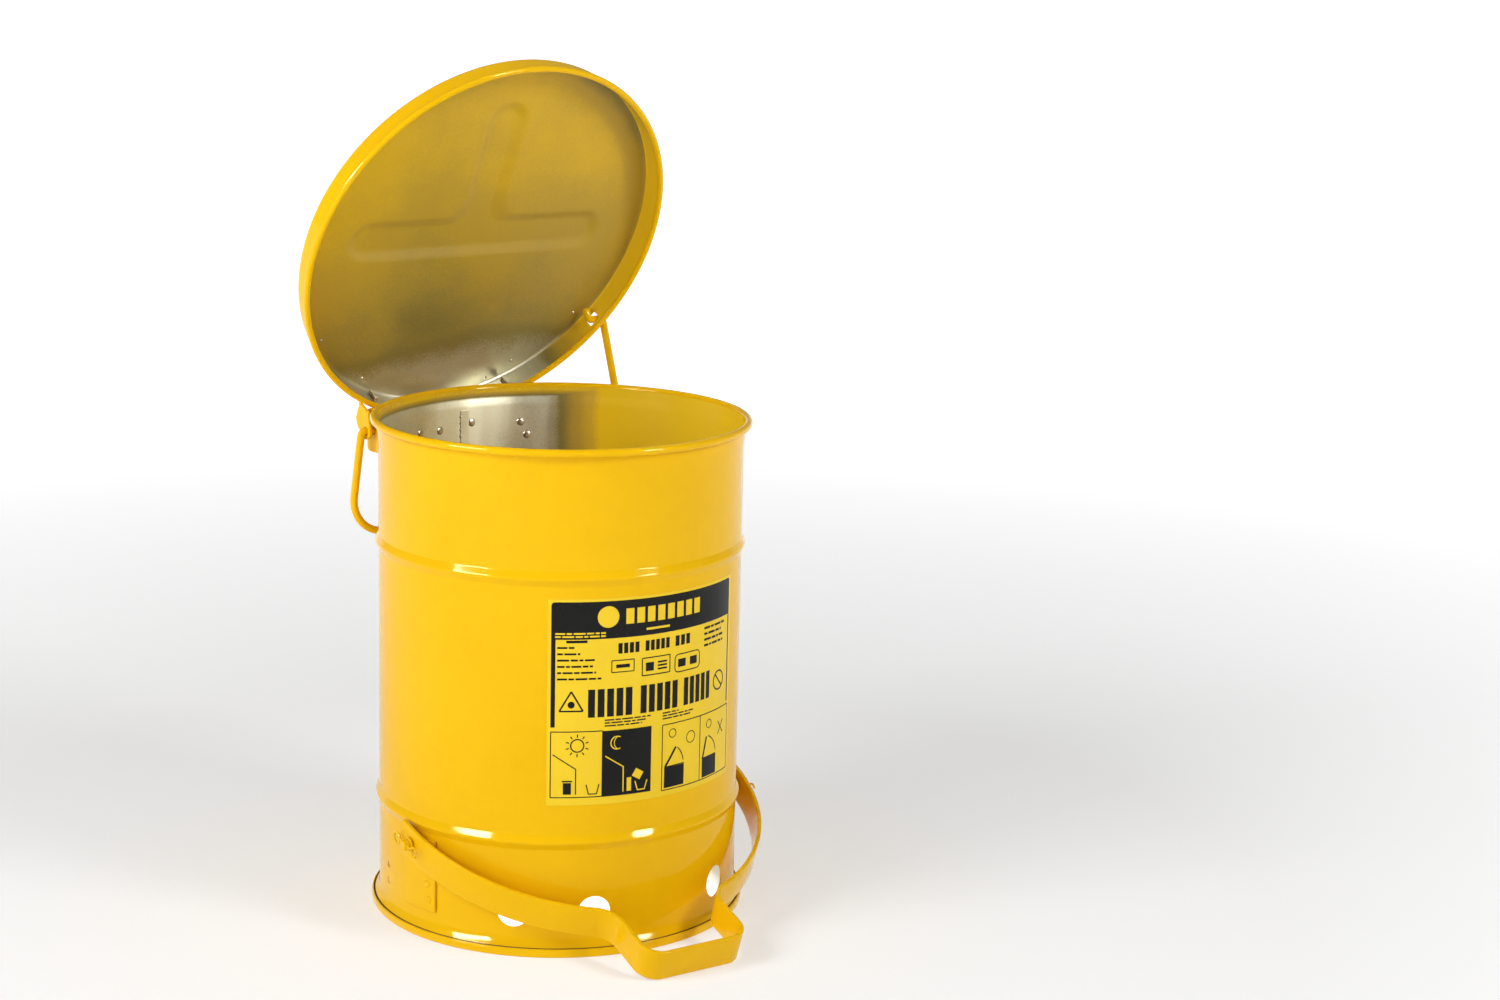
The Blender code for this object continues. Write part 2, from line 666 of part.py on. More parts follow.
def main():
    clear_scene()
    paint = material("painted_steel", YELLOW, 0.3, 0.0)
    bare = material("bare_steel", ZINC, 0.4, 1.0)
    film = material("label_film", LEMON, 0.3, 0.0)
    root = add_empty("waste_can", None, (AXIS_X, AXIS_Y, 0))
    make_can(root, paint, bare, film)
    make_hinge_bracket(root, paint)
    hinge = add_empty("lid_hinge", root, (0, HINGE_Y, HINGE_Z), (-LID_OPEN, 0, 0))
    make_lid(hinge, paint)
    swing = add_empty("bail_swing", root, (0, HINGE_Y, HINGE_Z))
    make_bail(swing, paint)
    pivot = add_empty("pedal_pivot", root, pivot_point(0), (0, 0, PEDAL_TURN))
    pedal = add_empty("pedal_plane", pivot, (0, 0, 0), (PEDAL_TILT, 0, 0))
    make_pedal(pedal, paint)
    make_pivot(pivot, root, "near", -1, NEAR_FACE, NEAR_PIN_END, paint)
    make_pivot(pivot, root, "far", 1, FAR_FACE, FAR_PIN_END, paint)
    spacer = collar(SPACER_R, PIN_HOLE, SPACER_ROOT, SPACER_END)
    add_mesh("pivot_spacer_far", spacer, pivot, paint)
    placed = Matrix.Translation(pivot.location) @ pivot.rotation_euler.to_matrix().to_4x4()
    tilted = placed @ pedal.rotation_euler.to_matrix().to_4x4()
    make_rod(root, tilted, paint)


main()
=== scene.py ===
"""Looks of the oily waste can: glossy enamel, bare steel inside and a printed label."""
import json
from math import acos, asin, atan2, cos, degrees, hypot, pi, radians, sin, sqrt

import bmesh
import bpy
from mathutils import Matrix, Vector


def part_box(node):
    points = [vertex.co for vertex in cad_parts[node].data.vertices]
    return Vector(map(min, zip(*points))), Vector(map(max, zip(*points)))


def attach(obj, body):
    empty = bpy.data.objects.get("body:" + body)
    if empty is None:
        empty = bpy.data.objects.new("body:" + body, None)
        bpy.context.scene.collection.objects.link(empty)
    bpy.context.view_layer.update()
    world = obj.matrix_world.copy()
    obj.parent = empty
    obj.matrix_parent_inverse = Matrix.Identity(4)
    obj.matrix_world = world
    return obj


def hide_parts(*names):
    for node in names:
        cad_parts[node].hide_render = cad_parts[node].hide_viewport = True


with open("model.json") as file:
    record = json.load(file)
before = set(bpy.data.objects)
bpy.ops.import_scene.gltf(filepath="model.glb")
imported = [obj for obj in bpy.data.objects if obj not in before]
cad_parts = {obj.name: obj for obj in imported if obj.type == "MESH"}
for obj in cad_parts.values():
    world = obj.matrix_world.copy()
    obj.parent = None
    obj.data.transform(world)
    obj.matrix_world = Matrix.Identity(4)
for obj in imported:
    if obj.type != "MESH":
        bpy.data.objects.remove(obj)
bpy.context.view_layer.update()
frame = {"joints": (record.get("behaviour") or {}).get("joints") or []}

MM = 0.001

# Places taken from the frame
JOINTS = {joint["name"]: joint for joint in frame["joints"]}
CAN_LOW, CAN_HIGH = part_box("can_body")
AXIS = Vector(((CAN_LOW.x + CAN_HIGH.x) / 2, (CAN_LOW.y + CAN_HIGH.y) / 2, 0))
HINGE = Vector(JOINTS["lid_hinge"]["pos_m"])
LID_OPEN = radians(JOINTS["lid_hinge"]["range_deg"][1])
PIVOT = Vector(JOINTS["pedal_pivot"]["pos_m"])
PIVOT_AXIS = Vector(JOINTS["pedal_pivot"]["axis"])
ROD_FOOT = Vector(JOINTS["rod_pivot"]["pos_m"])
HINGE_Y = HINGE.y - AXIS.y
HINGE_Z = HINGE.z
AT_CAN = Matrix.Translation(AXIS)
AT_HINGE = Matrix.Translation(HINGE)
SIDES = ((-1, "near"), (1, "far"))

# Can body
TURN = 192
BODY_R = 144.6 * MM
SHEET = 1.0 * MM
RIM_R = 147.8 * MM
RIM_Z = 394.6 * MM
RIM_WIRE = 3.2 * MM
CHIME_R = 150.8 * MM
CHIME_H = 7.0 * MM
LOW_BEAD_Z = 91.0 * MM
TOP_BEAD_Z = 298.0 * MM
BEAD_HIGH = 2.6 * MM
BEAD_HALF = 6.3 * MM
# Outward flare and height of the neck under the rim, in mm
NECK_FLARE = ((0.0, 376.0), (0.3, 380.0), (0.9, 384.0), (1.0, 387.0), (1.0, 391.2))
RIM_FOLD_Z = (391.2 * MM, 391.9 * MM)
SEAM_AZIMUTH = 90.6
SEAM_TOP = 378.0 * MM
STITCH_PITCH = 5.4 * MM
PAN_Z = 93.0 * MM
VENT_R = 12.7 * MM
VENT_Z = 34.5 * MM
VENT_AZIMUTHS = (-139.2, -114.2, -65.8, -40.8, 65.0, 90.0, 115.0)
DRAIN_R = 3.0 * MM
DRAIN_AZIMUTH = 166.4
DRAIN_HEIGHTS = (28.2 * MM, 41.3 * MM)

# Lid, drawn closed about the can's axis
LIP_R = 164.3 * MM
LIP_Z = 378.8 * MM
LIP_WIRE = 2.5 * MM
FLANGE_R = 162.9 * MM
LID_SHEET = 0.9 * MM
PANEL_Z = 399.1 * MM
LID_CORNER = 4.0 * MM
TEE_HIGH = 3.9 * MM
TEE_SLOPE = 9.5 * MM
TEE_BAR = (122.5 * MM, 19.5 * MM, 1.5 * MM)
TEE_STEM = (19.0 * MM, -124.0 * MM, -2.0 * MM)
TEE_FILLET = 22.0 * MM
TAB_SLOT_X = 66.0 * MM
TAB_Z = (382.2 * MM, 393.8 * MM)
ROD_SLOT = (30.35, 34.1)
ROD_SLOT_Z = (381.9 * MM, 390.8 * MM)

# Hinge plates and bail
EAR_X = 79.5 * MM
BRACKET_X = 72.0 * MM
PLATE = 2.5 * MM
HINGE_HOLE = 3.6 * MM
WEB_Z = (349.0 * MM, 372.0 * MM)
WIRE_R = 3.175 * MM
BAIL_X = 84.3 * MM
BAIL_DROP = 85.4 * MM
BAIL_SPLAY = 11.5 * MM
BAIL_BEND = 28.0 * MM
BAIL_END_X = 65.0 * MM

# Pedal strap
PEDAL_TURN = atan2(PIVOT_AXIS.y, PIVOT_AXIS.x)
PEDAL_TILT = radians(19.0)
STRAP_T = 3.2 * MM
STRAP_W = 25.4 * MM
STRAP_EDGE = 0.7 * MM
NEAR_FACE = -151.0 * MM
FAR_FACE = 158.0 * MM
TREAD_HALF = 44.4 * MM
TREAD_Y = -190.4 * MM
HUG_R = 159.0 * MM
HUG_START = 16.0 * MM
NECK_R = 22.0 * MM
TREAD_BEND = 15.0 * MM
ROD_ARM = 118.9 * MM
ARM_END = 128.0 * MM

# Pivot pins and their fittings
PIN_R = 4.0 * MM
PIN_HOLE = 4.35 * MM
PIN_ROOT = 142.7 * MM
NEAR_PIN_END = -157.5 * MM
FAR_PIN_END = 164.5 * MM
WASHER_R = 6.0 * MM
WASHER_T = 1.2 * MM
COTTER_R = 0.85 * MM
COTTER_INSET = 2.6 * MM
COTTER_REACH = 9.0 * MM
COTTER_EYE = 4.6 * MM
COTTER_TILT = radians(9.5)
SPACER_R = 8.0 * MM
SPACER_ROOT = 146.4 * MM
SPACER_END = 151.9 * MM
PLATE_Z = (22.0 * MM, 80.5 * MM)
PLATE_HALF_ANGLE = 7.4

# Lift rod, at rest
ROD_X = 163.6 * MM
ROD_TOP = Vector((147.2, 86.5, 385.4)) * MM
ROD_BEND = 4.0 * MM
ROD_INSIDE = 132.0 * MM
ROD_STUB = 10.0 * MM
ROD_HOOK = 145.0 * MM

# Label; its print is laid out flat in mm, from its lower left corner
LABEL_AZIMUTHS = (-129.2, -58.5)
LABEL_Z = (121.0 * MM, 283.0 * MM)
FILM_R = BODY_R + 0.25 * MM
INK_STEP = 0.06 * MM
PRINT_STRIP = 4.0

# Camera, from the foot of the can's axis
LENS = 64.73
SENSOR = 36.0
CAMERA_PLACE = Vector((-1.2250, -1.7152, 0.7810))
CAMERA_RIGHT = Vector((0.77027, -0.63778, 0.0)).normalized()
CAMERA_AHEAD = Vector((0.62371, 0.75326, -0.20895)).normalized()
CAMERA_ROLL = 0.0255

# Room, floor and lights
AWAY_FROM_KEY = (0.91, 0.42, 0.0)
LIGHT_TARGET_Z = 0.3
FLOOR_R = 40.0
FLOOR_DROP = 0.2 * MM

# Colours, and the angle in degrees past which an edge is sharp
WHITE = (1.0, 1.0, 1.0, 1.0)
ENAMEL = (0.81, 0.462, 0.003)
# Lighter copy of the enamel: painted light for the can's inner wall and the inside of the lid's flange
ENAMEL_WITH_PAINTED_LIGHT = (0.86, 0.560, 0.016)
SHARP_ANGLE = 32


# ---- materials

class Nodes:
    """A small helper that adds and links shader nodes of one material or world."""

    def __init__(self, owner, shader="Principled BSDF", space="Object"):
        owner.use_nodes = True
        self.owner = owner
        self.tree = owner.node_tree
        self.shader = self.tree.nodes[shader]
        self.where = self.add("ShaderNodeTexCoord").outputs[space]

    def add(self, kind, **values):
        node = self.tree.nodes.new(kind)
        for key, value in values.items():
            setattr(node, key, value)
        return node

    def link(self, source, target):
        self.tree.links.new(source, target)

    def set(self, name, value):
        self.shader.inputs[name].default_value = value

    def feed(self, name, source):
        self.link(source, self.shader.inputs[name])

    def axes(self):
        """The X, Y and Z of the place being shaded."""
        parts = self.add("ShaderNodeSeparateXYZ")
        self.link(self.where, parts.inputs[0])
        return parts.outputs

    def math(self, operation, a, b=0.0, clamp=False):
        node = self.add("ShaderNodeMath", operation=operation, use_clamp=clamp)
        for socket, value in zip(node.inputs, (a, b)):
            if isinstance(value, (int, float)):
                socket.default_value = value
            else:
                self.link(value, socket)
        return node.outputs[0]

    def noise(self, scale, detail=2.0, rough=0.5, stretch=None):
        node = self.add("ShaderNodeTexNoise")
        node.inputs["Scale"].default_value = scale
        node.inputs["Detail"].default_value = detail
        node.inputs["Roughness"].default_value = rough
        source = self.where
        if stretch:
            mapping = self.add("ShaderNodeMapping")
            mapping.inputs["Scale"].default_value = stretch
            self.link(source, mapping.inputs["Vector"])
            source = mapping.outputs[0]
        self.link(source, node.inputs["Vector"])
        return node.outputs["Fac"]

    def ramp(self, factor, stops, ease="LINEAR"):
        node = self.add("ShaderNodeValToRGB")
        node.color_ramp.interpolation = ease
        while len(node.color_ramp.elements) < len(stops):
            node.color_ramp.elements.new(0.5)
        for element, (place, colour) in zip(node.color_ramp.elements, stops):
            element.position = place
            element.color = (*colour, 1.0) if len(colour) == 3 else colour
        self.link(factor, node.inputs[0])
        return node.outputs["Color"]

    def fit(self, value, low, high, new_low, new_high, ease="LINEAR"):
        node = self.add("ShaderNodeMapRange", interpolation_type=ease)
        self.link(value, node.inputs[0])
        for socket, number in zip(node.inputs[1:5], (low, high, new_low, new_high)):
            socket.default_value = number
        return node.outputs[0]

    def bump(self, height, strength, distance=0.0005):
        node = self.add("ShaderNodeBump")
        node.inputs["Strength"].default_value = strength
        node.inputs["Distance"].default_value = distance
        self.link(height, node.inputs["Height"])
        self.feed("Normal", node.outputs[0])


def material_nodes(name):
    return Nodes(bpy.data.materials.new(name))


def enamel(name="yellow_enamel"):
    """Glossy yellow enamel over sheet steel, with faint orange peel and handling marks."""
    n = material_nodes(name)
    drift = n.noise(7.0, 3.0)
    fine = n.noise(60.0, 4.0, 0.6)
    mixed = n.math("ADD", n.math("MULTIPLY", drift, 0.7), n.math("MULTIPLY", fine, 0.3))
    colour = n.ramp(mixed, [
        (0.30, (0.77, 0.432, 0.0025)),
        (0.50, ENAMEL),
        (0.70, (0.84, 0.485, 0.0040)),
    ])
    n.feed("Base Color", colour)
    n.feed("Roughness", n.fit(n.noise(35.0, 5.0, 0.65), 0.3, 0.75, 0.045, 0.11))
    n.set("Specular IOR Level", 0.17)
    n.set("Specular Tint", (1.0, 0.88, 0.45, 1.0))
    peel = n.math("ADD", n.noise(420.0, 2.0), n.math("MULTIPLY", n.noise(95.0, 2.0), 1.6))
    n.bump(peel, 0.030, 0.0004)
    return n.owner


def overspray(name, coverage, painted=ENAMEL):
    """Bare sheet steel under drifting overspray. coverage(nodes) gives 0 bare to 1 painted."""
    n = material_nodes(name)
    cover = n.math("ADD", coverage(n), n.fit(n.noise(11.0, 5.0, 0.55), 0.25, 0.75, -0.09, 0.09))
    speckle = n.math("ADD", cover, n.fit(n.noise(750.0, 2.0), 0.3, 0.7, -0.035, 0.035), True)
    colour = n.ramp(speckle, [
        (0.00, (0.57, 0.560, 0.430)),
        (0.13, (0.44, 0.405, 0.260)),
        (0.30, (0.24, 0.190, 0.045)),
        (0.55, (0.45, 0.292, 0.028)),
        (0.80, (0.62, 0.385, 0.016)),
        (1.00, painted),
    ], "EASE")
    n.feed("Base Color", colour)
    n.feed("Metallic", n.fit(speckle, 0.0, 0.42, 0.85, 0.0))
    grain = n.noise(55.0, 4.0, 0.6, (1.0, 1.0, 0.15))
    rough = n.math("SUBTRACT", n.fit(grain, 0.3, 0.7, 0.32, 0.46), n.fit(cover, 0.85, 1.0, 0.0, 0.26))
    n.feed("Roughness", rough)
    n.set("Specular IOR Level", 0.22)
    n.bump(n.noise(500.0, 3.0, 0.6), 0.10, 0.0004)
    return n.owner


def lid_coverage_and_shadow(n):
    """Bare near the hinge, painted towards the front and one side, with a painted shadow of the flange
    along the other side's edge.
    """
    across, along = n.axes()[0:2]
    drift = n.fit(n.noise(9.0, 1.0), 0.3, 0.7, -0.016, 0.016)
    near = n.fit(n.math("ADD", along, drift), -0.016, -0.060, 0.0, 0.36)
    forward = n.math("ADD", near, n.fit(along, -0.075, -0.23, 0.0, 0.32))
    side = n.fit(across, -0.05, -0.15, 0.0, 0.16)
    middle = n.math("ADD", along, HINGE_Y)
    reach = n.math("SQRT", n.math("ADD", n.math("POWER", across, 2.0), n.math("POWER", middle, 2.0)))
    # Painted shadow: near the rim on the +X side, away from the hinge, coverage drops and the panel turns
    # dark olive.
    edge = n.math("MULTIPLY", n.fit(reach, 0.138, 0.159, 0.0, 0.36), n.fit(across, 0.0, 0.06, 0.0, 1.0))
    edge = n.math("MULTIPLY", edge, n.fit(along, -0.17, -0.26, 0.0, 1.0))
    return n.math("SUBTRACT", n.math("ADD", forward, side), edge)


def flange_coverage(n):
    """Bare near the hinge, fully painted round the rest of the flange."""
    return n.fit(n.axes()["Y"], -0.030, -0.075, 0.02, 1.0)


def can_coverage(n):
    """Painted on the lift rod's side of the inner wall, and bare round the back and near side."""
    across, along, height = n.axes()
    angle = n.math("ARCTAN2", along, across)
    back = n.fit(n.math("ABSOLUTE", n.math("SUBTRACT", angle, radians(118))), 1.02, 1.36, 0.0, 1.08)
    rim = n.fit(height, 0.386, 0.392, 0.0, 0.9)
    return n.math("MAXIMUM", back, rim)


def pan_coverage(n):
    """A light mist of paint over the raised bottom."""
    return n.fit(n.noise(5.0, 3.0), 0.3, 0.7, 0.02, 0.20)


def mottled(name, colour_noise, colours, rough_noise, roughness, peel, shine=0.5, metal=0.0):
    """A plain material whose colour and roughness drift between two values."""
    n = material_nodes(name)
    n.feed("Base Color", n.ramp(n.noise(*colour_noise), list(zip((0.3, 0.7), colours))))
    n.feed("Roughness", n.fit(n.noise(*rough_noise), 0.3, 0.7, *roughness))
    n.set("Specular IOR Level", shine)
    n.set("Metallic", metal)
    scale, detail, strength, distance = peel
    n.bump(n.noise(scale, detail), strength, distance)
    return n.owner


def film():
    """Smooth vinyl film, a little more lemon than the enamel."""
    return mottled(
        "label_yellow", (18.0, 3.0), colours=((0.80, 0.540, 0.010), (0.84, 0.575, 0.016)),
        rough_noise=(60.0, 4.0), roughness=(0.16, 0.26), peel=(260.0, 2.0, 0.03, 0.0003), shine=0.25)


def ink():
    """Satin black print with a slight mottle."""
    return mottled(
        "label_black", (40.0, 3.0), colours=((0.004, 0.004, 0.004), (0.008, 0.008, 0.007)),
        rough_noise=(70.0, 4.0), roughness=(0.18, 0.30), peel=(260.0, 2.0, 0.03, 0.0003), shine=0.15)


def weld_shade():
    """Heat-marked steel of the spot welds and the seam."""
    return mottled(
        "weld_steel", (120.0, 4.0), colours=((0.30, 0.26, 0.18), (0.52, 0.47, 0.36)),
        rough_noise=(90.0, 3.0), roughness=(0.25, 0.45), peel=(400.0, 3.0, 0.15, 0.0004), metal=0.9)


def painted_crease_shadow():
    """Dark brown painted shade at the bottom of a folded seam, where the crease's shadow falls."""
    return mottled(
        "crease", (45.0, 4.0), colours=((0.075, 0.038, 0.004), (0.22, 0.115, 0.006)),
        rough_noise=(90.0, 3.0), roughness=(0.5, 0.8), peel=(400.0, 3.0, 0.15, 0.0003), shine=0.1)


def pale_floor():
    """A pale floor that glows under the can, and more strongly far away from it."""
    n = material_nodes("pale_floor")
    n.feed("Base Color", n.ramp(n.noise(0.7, 2.0), [(0.3, (0.58, 0.58, 0.58)), (0.7, (0.61, 0.61, 0.61))]))
    n.set("Roughness", 0.8)
    n.set("Specular IOR Level", 0.1)
    n.set("Emission Color", WHITE)
    reach = n.add("ShaderNodeVectorMath", operation="LENGTH")
    n.link(n.where, reach.inputs[0])
    outside = n.fit(reach.outputs["Value"], 0.6, 2.6, 0.40, 0.97)
    under = n.fit(reach.outputs["Value"], 0.125, 0.140, 0.75, 0.0)
    n.feed("Emission Strength", n.math("ADD", outside, under))
    return n.owner


SKINS = {
    "paint": enamel(),
    # The inner wall and the flange's inside end in the lighter enamel copy, which is painted light
    "can_inside": overspray("can_inside", can_coverage, ENAMEL_WITH_PAINTED_LIGHT),
    "pan": overspray("pan_steel", pan_coverage),
    "lid_inside": overspray("lid_inside", lid_coverage_and_shadow),
    "flange_inside": overspray("flange_inside", flange_coverage, ENAMEL_WITH_PAINTED_LIGHT),
    "film": film(),
    "ink": ink(),
    "weld": weld_shade(),
    "crease": painted_crease_shadow(),
    "floor": pale_floor(),
}


# ---- mesh tools

def add_mesh(name, bm, skins, place=None):
    """An object from a bmesh, shaded smooth, with outward faces. skins holds its materials' names."""
    bmesh.ops.recalc_face_normals(bm, faces=bm.faces)
    mesh = bpy.data.meshes.new(name)
    bm.to_mesh(mesh)
    bm.free()
    mesh.shade_smooth()
    mesh.set_sharp_from_angle(angle=radians(SHARP_ANGLE))
    for skin in skins.split():
        mesh.materials.append(SKINS[skin])
    obj = bpy.data.objects.new(name, mesh)
    bpy.context.scene.collection.objects.link(obj)
    if place is not None:
        obj.matrix_world = place
    return obj


def settle(obj):
    """Replaces an object's mesh with its evaluated one, and drops its modifiers."""
    bpy.context.view_layer.update()
    graph = bpy.context.evaluated_depsgraph_get()
    mesh = bpy.data.meshes.new_from_object(obj.evaluated_get(graph), depsgraph=graph)
    obj.modifiers.clear()
    obj.data = mesh
    return obj


def cut(obj, bm, place):
    """Cuts a bmesh shape out of a painted object, with painted cut faces."""
    tool = add_mesh(obj.name + "_tool", bm, "paint", place)
    boolean = obj.modifiers.new("cut", "BOOLEAN")
    boolean.operation = "DIFFERENCE"
    boolean.solver = "EXACT"
    boolean.object = tool
    settle(obj)
    bpy.data.objects.remove(tool, do_unlink=True)
    obj.data.set_sharp_from_angle(angle=radians(SHARP_ANGLE))
    return obj


def soften(obj, width, segments=3, angle=40):
    """Rounds the hard edges of a plate."""
    bevel = obj.modifiers.new("edges", "BEVEL")
    bevel.width = width
    bevel.segments = segments
    bevel.limit_method = "ANGLE"
    bevel.angle_limit = radians(angle)
    bevel.harden_normals = True
    settle(obj)
    return obj


def finish_piece(obj, body, slot, *nodes):
    """Says which body carries a piece and hides the CAD nodes that it stands for; its slot argument is not
    used.
    """
    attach(obj, body)
    if nodes:
        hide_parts(*nodes)
    return obj


def painted(name, bm, place, body, *nodes, edge=0.0):
    """A whole enamelled piece, with its hard edges rounded where edge says so."""
    obj = add_mesh(name, bm, "paint", place)
    if edge:
        soften(obj, edge)
    return finish_piece(obj, body, "yellow_paint", *nodes)


def welded(name, bm, place, body):
    return finish_piece(add_mesh(name, bm, "weld", place), body, "bare_steel")


def arc(centre, radius, start, end, steps):
    """Points on an arc in degrees, both ends included."""
    span = [radians(start + (end - start) * i / steps) for i in range(steps + 1)]
    return [(centre[0] + radius * cos(a), centre[1] + radius * sin(a)) for a in span]


def turned(profile, steps=TURN, sweep=(0.0, 360.0)):
    """A closed (r, z) profile turned about Z. Points on the axis are shared."""
    bm = bmesh.new()
    full = sweep[1] - sweep[0] >= 360.0
    count = steps if full else steps + 1
    on_axis = [r < 1e-9 for r, _ in profile]
    verts = []
    for i in range(count):
        angle = radians(sweep[0] + (sweep[1] - sweep[0]) * i / steps)
        verts.append([
            verts[0][j] if on_axis[j] and i else bm.verts.new((r * cos(angle), r * sin(angle), z))
            for j, (r, z) in enumerate(profile)
        ])
    size = len(profile)
    for i in range(steps):
        a, b = verts[i], verts[(i + 1) % count]
        for j in range(size):
            k = (j + 1) % size
            corners = list(dict.fromkeys((a[j], a[k], b[k], b[j])))
            if len(corners) > 2:
                bm.faces.new(corners)
    if not full:
        bm.faces.new(verts[0])
        bm.faces.new(verts[-1])
    return bm


def band(r_in, r_out, z_low, z_high, azimuths, steps):
    """A curved plate about Z between two azimuths."""
    profile = [(r_in, z_low), (r_out, z_low), (r_out, z_high), (r_in, z_high)]
    return turned(profile, steps, azimuths)


def skinned(bm, rings):
    """Faces between neighbouring rings of vertices, and one over each end."""
    size = len(rings[0])
    for a, b in zip(rings, rings[1:]):
        for j in range(size):
            k = (j + 1) % size
            bm.faces.new((a[j], a[k], b[k], b[j]))
    bm.faces.new(rings[0])
    bm.faces.new(rings[-1])
    return bm


def prism(outline, low, high):
    bm = bmesh.new()
    return skinned(bm, [[bm.verts.new((x, y, z)) for x, y in outline] for z in (low, high)])


def plate_across_x(outline, x, thick):
    """A flat plate square to X, its outline in (y, z)."""
    bm = prism(outline, x - thick / 2, x + thick / 2)
    bm.transform(Matrix(((0, 0, 1, 0), (1, 0, 0, 0), (0, 1, 0, 0), (0, 0, 0, 1))))
    return bm


def along_x(profile, steps):
    """An (r, x) profile turned about the X axis."""
    bm = turned(profile, steps)
    bm.transform(Matrix.Rotation(pi / 2, 4, "Y"))
    return bm


def drum(radius, start, end, steps=32, edge=0.0):
    low, high = min(start, end), max(start, end)
    if not edge:
        return along_x([(0.0, low), (radius, low), (radius, high), (0.0, high)], steps)
    return along_x(
        [(0.0, low)] + arc((radius - edge, low + edge), edge, -90, 0, 3)
        + arc((radius - edge, high - edge), edge, 0, 90, 3) + [(0.0, high)], steps)


def collar(radius, hole, start, end, steps=40, edge=0.25 * MM):
    low, high = min(start, end), max(start, end)
    return along_x(
        arc((hole + edge, low + edge), edge, 180, 270, 2)
        + arc((radius - edge, low + edge), edge, -90, 0, 2)
        + arc((radius - edge, high - edge), edge, 0, 90, 2)
        + arc((hole + edge, high - edge), edge, 90, 180, 2), steps)


def bent(points, radius, steps=10):
    """A path through the points with each inner corner rounded."""
    path = [points[0]]
    for i in range(1, len(points) - 1):
        here = points[i]
        back = (points[i - 1] - here).normalized()
        ahead = (points[i + 1] - here).normalized()
        half = back.angle(ahead) / 2
        reach = radius / abs(sin(half) / cos(half))
        centre = here + (back + ahead).normalized() * radius / sin(half)
        start = here + back * reach - centre
        axis = start.cross(here + ahead * reach - centre)
        turn = pi - 2 * half
        for j in range(steps + 1):
            path.append(centre + Matrix.Rotation(turn * j / steps, 3, axis) @ start)
    return path + [points[-1]]


def wire(path, radius, sides=24, nose=0.5):
    """A round wire along a path, its ends rounded over by a share of its radius."""
    ends = []
    for tip, inner in ((path[0], path[1]), (path[-1], path[-2])):
        inward = (inner - tip).normalized()
        ends.append([(tip + inward * radius * nose * (1 - cos(radians(a))),
                      radius * (1 - nose * (1 - sin(radians(a))))) for a in (0, 30, 60, 90)])
    points = [p for p, _ in ends[0]] + path[1:-1] + [p for p, _ in reversed(ends[1])]
    radii = [r for _, r in ends[0]] + [radius] * (len(path) - 2) + [r for _, r in reversed(ends[1])]
    tangents = []
    for i in range(len(points)):
        ahead = points[min(i + 1, len(points) - 1)] - points[i]
        behind = points[i] - points[max(i - 1, 0)]
        tangents.append((ahead.normalized() + behind.normalized()).normalized())
    bm = bmesh.new()
    side = tangents[0].orthogonal().normalized()
    rings = []
    for i, point in enumerate(points):
        if i:
            side = tangents[i - 1].rotation_difference(tangents[i]) @ side
        up = tangents[i].cross(side)
        turns = [2 * pi * j / sides for j in range(sides)]
        rings.append([bm.verts.new(point + (side * cos(a) + up * sin(a)) * radii[i]) for a in turns])
    return skinned(bm, rings)


def dome(radius, height, steps=20):
    """A low spot-weld dome along +X from the origin."""
    profile = [(0.0, -0.4 * MM), (radius, -0.4 * MM)]
    profile += [(radius * cos(radians(a)), height * sin(radians(a))) for a in (0, 20, 40, 60, 75)]
    return along_x(profile + [(0.0, height)], steps)


def at_wall(azimuth, z, radius, in_world=True):
    """Matrix that puts +X along the radius at one azimuth of the can."""
    turn = Matrix.Rotation(radians(azimuth), 4, "Z")
    centre = Vector((0, 0, z)) + (AXIS if in_world else Vector())
    return Matrix.Translation(centre) @ turn @ Matrix.Translation((radius, 0, 0))


def merged(parts):
    """One bmesh out of several, each turned outward first."""
    whole = bmesh.new()
    for part in parts:
        bmesh.ops.recalc_face_normals(part, faces=part.faces)
        mesh = bpy.data.meshes.new("part")
        part.to_mesh(mesh)
        part.free()
        whole.from_mesh(mesh)
        bpy.data.meshes.remove(mesh)
    return whole


# ---- can

def bead_share(u):
    """Height share of a swaged bead: round crest, straight flanks and a short foot fillet."""
    crest, foot, slope = 0.20, 0.88, 1.19
    if u < crest:
        return 1 - slope * u * u / (2 * crest)
    if u < foot:
        return 1 - slope * (u - crest / 2)
    return slope * (1 - u) ** 2 / (2 * (1 - foot))


